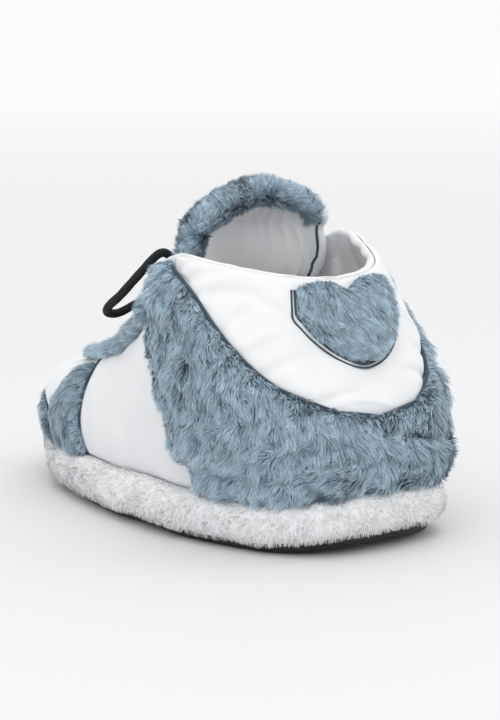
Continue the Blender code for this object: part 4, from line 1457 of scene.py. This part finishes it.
class SLIPPER_OT_laces(bpy.types.Operator):
    """Round black lace: bars through the eyelets, and its bow"""
    bl_idname = "slipper.laces"
    bl_label = "Laces"

    def execute(self, context):
        radius = context.scene.slipper_lace.diameter / 2
        rib = 0.0015

        def braid(turn, along):
            first = np.sin(2 * math.pi * (along / rib + 2 * turn))
            second = np.sin(2 * math.pi * (along / rib - 2 * turn))
            return 0.00016 * np.maximum(first, second) - 0.00012

        for number, share in enumerate(LACE_ROWS):
            bar, _ = lace_bar(share)
            stand, sink = TOP_ROW_LIE if share == LACE_ROWS[-1] else ROW_LIE
            holes = [skin_point(s, EYELET_HEIGHT, -EYELET_DEPTH) for s in (share, 2 - share)]
            rims = [skin_point(s, EYELET_HEIGHT, stand) for s in (share, 2 - share)]
            arch = [point - [0.0, 0.0, sink] for point in bar[2:5]]
            route, _ = route_through([holes[0], rims[0], *arch, rims[1], holes[1]], 0.0008)
            mesh = tube(f"lace_row_{number + 1}", route, radius, 12, braid)
            place_piece(mesh, "lace", ["lace_bars"] if number == 0 else [])

        knot = knot_place()
        _, up = lace_bar(LACE_ROWS[-1])
        a = np.linspace(-0.9, 2 * math.pi * 1.55, 60)
        turnings = np.stack([
            np.linspace(-0.0048, 0.0048, 60), 0.0030 * np.cos(a), 0.0036 * np.sin(a),
        ], 1) + knot
        route, _ = route_through(turnings, 0.0006)
        mesh = tube("lace_knot_wrap", route, radius * 1.02, 16, braid, rounded=0.003)
        place_piece(mesh, "lace", ["lace_knot"])

        for word, side in (("outer", -1), ("inner", 1)):
            for kind, points, ending in (("loop", BOW_LOOP, "knot"), ("end", BOW_END, "bare")):
                path = [knot + np.array([side * x, y, z]) for x, y, z in points]
                route, length = route_through(path, 0.0007)
                mesh = tube(f"bow_{kind}_{word}", route, radius, 14, braid, rounded=0.0008)
                item = place_piece(mesh, "lace", [f"lace_{kind}_{word}"])
        return {"FINISHED"}


class SLIPPER_OT_studio(bpy.types.Operator):
    """Pale floor, soft lights and the camera at the photograph's angle"""
    bl_idname = "slipper.studio"
    bl_label = "Studio"

    def execute(self, context):
        studio = context.scene.slipper_studio
        bm = bmesh.new()
        bmesh.ops.create_grid(bm, x_segments=1, y_segments=1, size=FLOOR_SIZE)
        mesh = mesh_from(bm, "floor")
        floor = put_object("floor", mesh)
        finish, tree, shader = shader_tree("floor")
        place = tree.nodes.new("ShaderNodeTexCoord")
        gap = tree.nodes.new("ShaderNodeVectorMath")
        gap.operation = "LENGTH"
        tree.links.new(place.outputs["Object"], gap.inputs[0])
        far = tree.nodes.new("ShaderNodeMapRange")
        far.interpolation_type = "SMOOTHSTEP"
        set_inputs(far, {"From Min": FLOOR_FADE[0], "From Max": FLOOR_FADE[1]})
        tree.links.new(gap.outputs["Value"], far.inputs["Value"])
        # Painted light: the floor is painted lighter with distance, for the lamps' light that falls near the
        # shoe only.
        colour = mix_colour(tree, far.outputs["Result"], (*studio.floor, 1.0), (*studio.far_floor_painted_light, 1.0))
        tree.links.new(colour, shader.inputs["Base Color"])
        set_inputs(shader, {"Roughness": 0.7, "Specular IOR Level": 0.2})
        mesh.materials.append(finish)

        world = bpy.data.worlds.new("studio")
        world.use_nodes = True
        world.node_tree.nodes["Background"].inputs[0].default_value = (1.0, 1.0, 1.0, 1.0)
        world.node_tree.nodes["Background"].inputs[1].default_value = studio.sky_strength
        context.scene.world = world
        context.scene.view_settings.view_transform = "Standard"
        powers = (studio.top_power, studio.key_power, studio.fill_power)
        for (name, place, size), watts in zip(LIGHTS, powers):
            lamp = bpy.data.lights.new(name, "AREA")
            lamp.shape = "DISK"
            lamp.size = size
            lamp.energy = watts
            stand_at(name, lamp, place, LIGHT_AIM)

        lens = bpy.data.cameras.new("camera")
        lens.sensor_fit = "HORIZONTAL"
        lens.sensor_width = CAMERA_SENSOR
        lens.lens = CAMERA_LENS
        lens.clip_start = 0.05
        context.scene.camera = stand_at("camera", lens, CAMERA_PLACE, CAMERA_TARGET)
        return {"FINISHED"}


class SLIPPER_PT_panel(bpy.types.Panel):
    bl_idname = "SLIPPER_PT_panel"
    bl_label = "Slipper"
    bl_space_type = "VIEW_3D"
    bl_region_type = "UI"
    bl_category = "Slipper"

    def draw(self, context):
        for operator in OPERATORS:
            self.layout.operator(operator.bl_idname)
        for holder in (context.scene.slipper_fur, context.scene.slipper_cloth, context.scene.slipper_lace,
                       context.scene.slipper_studio):
            for name in holder.__annotations__:
                self.layout.prop(holder, name)


SETTINGS = [
    ("slipper_fur", SlipperFur), ("slipper_cloth", SlipperCloth), ("slipper_lace", SlipperLace),
    ("slipper_studio", SlipperStudio),
]
OPERATORS = [
    SLIPPER_OT_materials, SLIPPER_OT_studio, SLIPPER_OT_laces, SLIPPER_OT_sole, SLIPPER_OT_shell,
    SLIPPER_OT_collar, SLIPPER_OT_sides, SLIPPER_OT_quarter, SLIPPER_OT_eyestays, SLIPPER_OT_guard,
    SLIPPER_OT_heel_tab, SLIPPER_OT_tongue,
]


def register():
    for name, holder in SETTINGS:
        bpy.utils.register_class(holder)
        setattr(bpy.types.Scene, name, bpy.props.PointerProperty(type=holder))
    for item in OPERATORS + [SLIPPER_PT_panel]:
        bpy.utils.register_class(item)


def unregister():
    for item in reversed(OPERATORS + [SLIPPER_PT_panel]):
        bpy.utils.unregister_class(item)
    for name, holder in reversed(SETTINGS):
        delattr(bpy.types.Scene, name)
        bpy.utils.unregister_class(holder)


def main():
    register()
    for operator in OPERATORS:
        group, name = operator.bl_idname.split(".")
        getattr(getattr(bpy.ops, group), name)()
    bpy.context.view_layer.update()


if __name__ == "__main__":
    main()
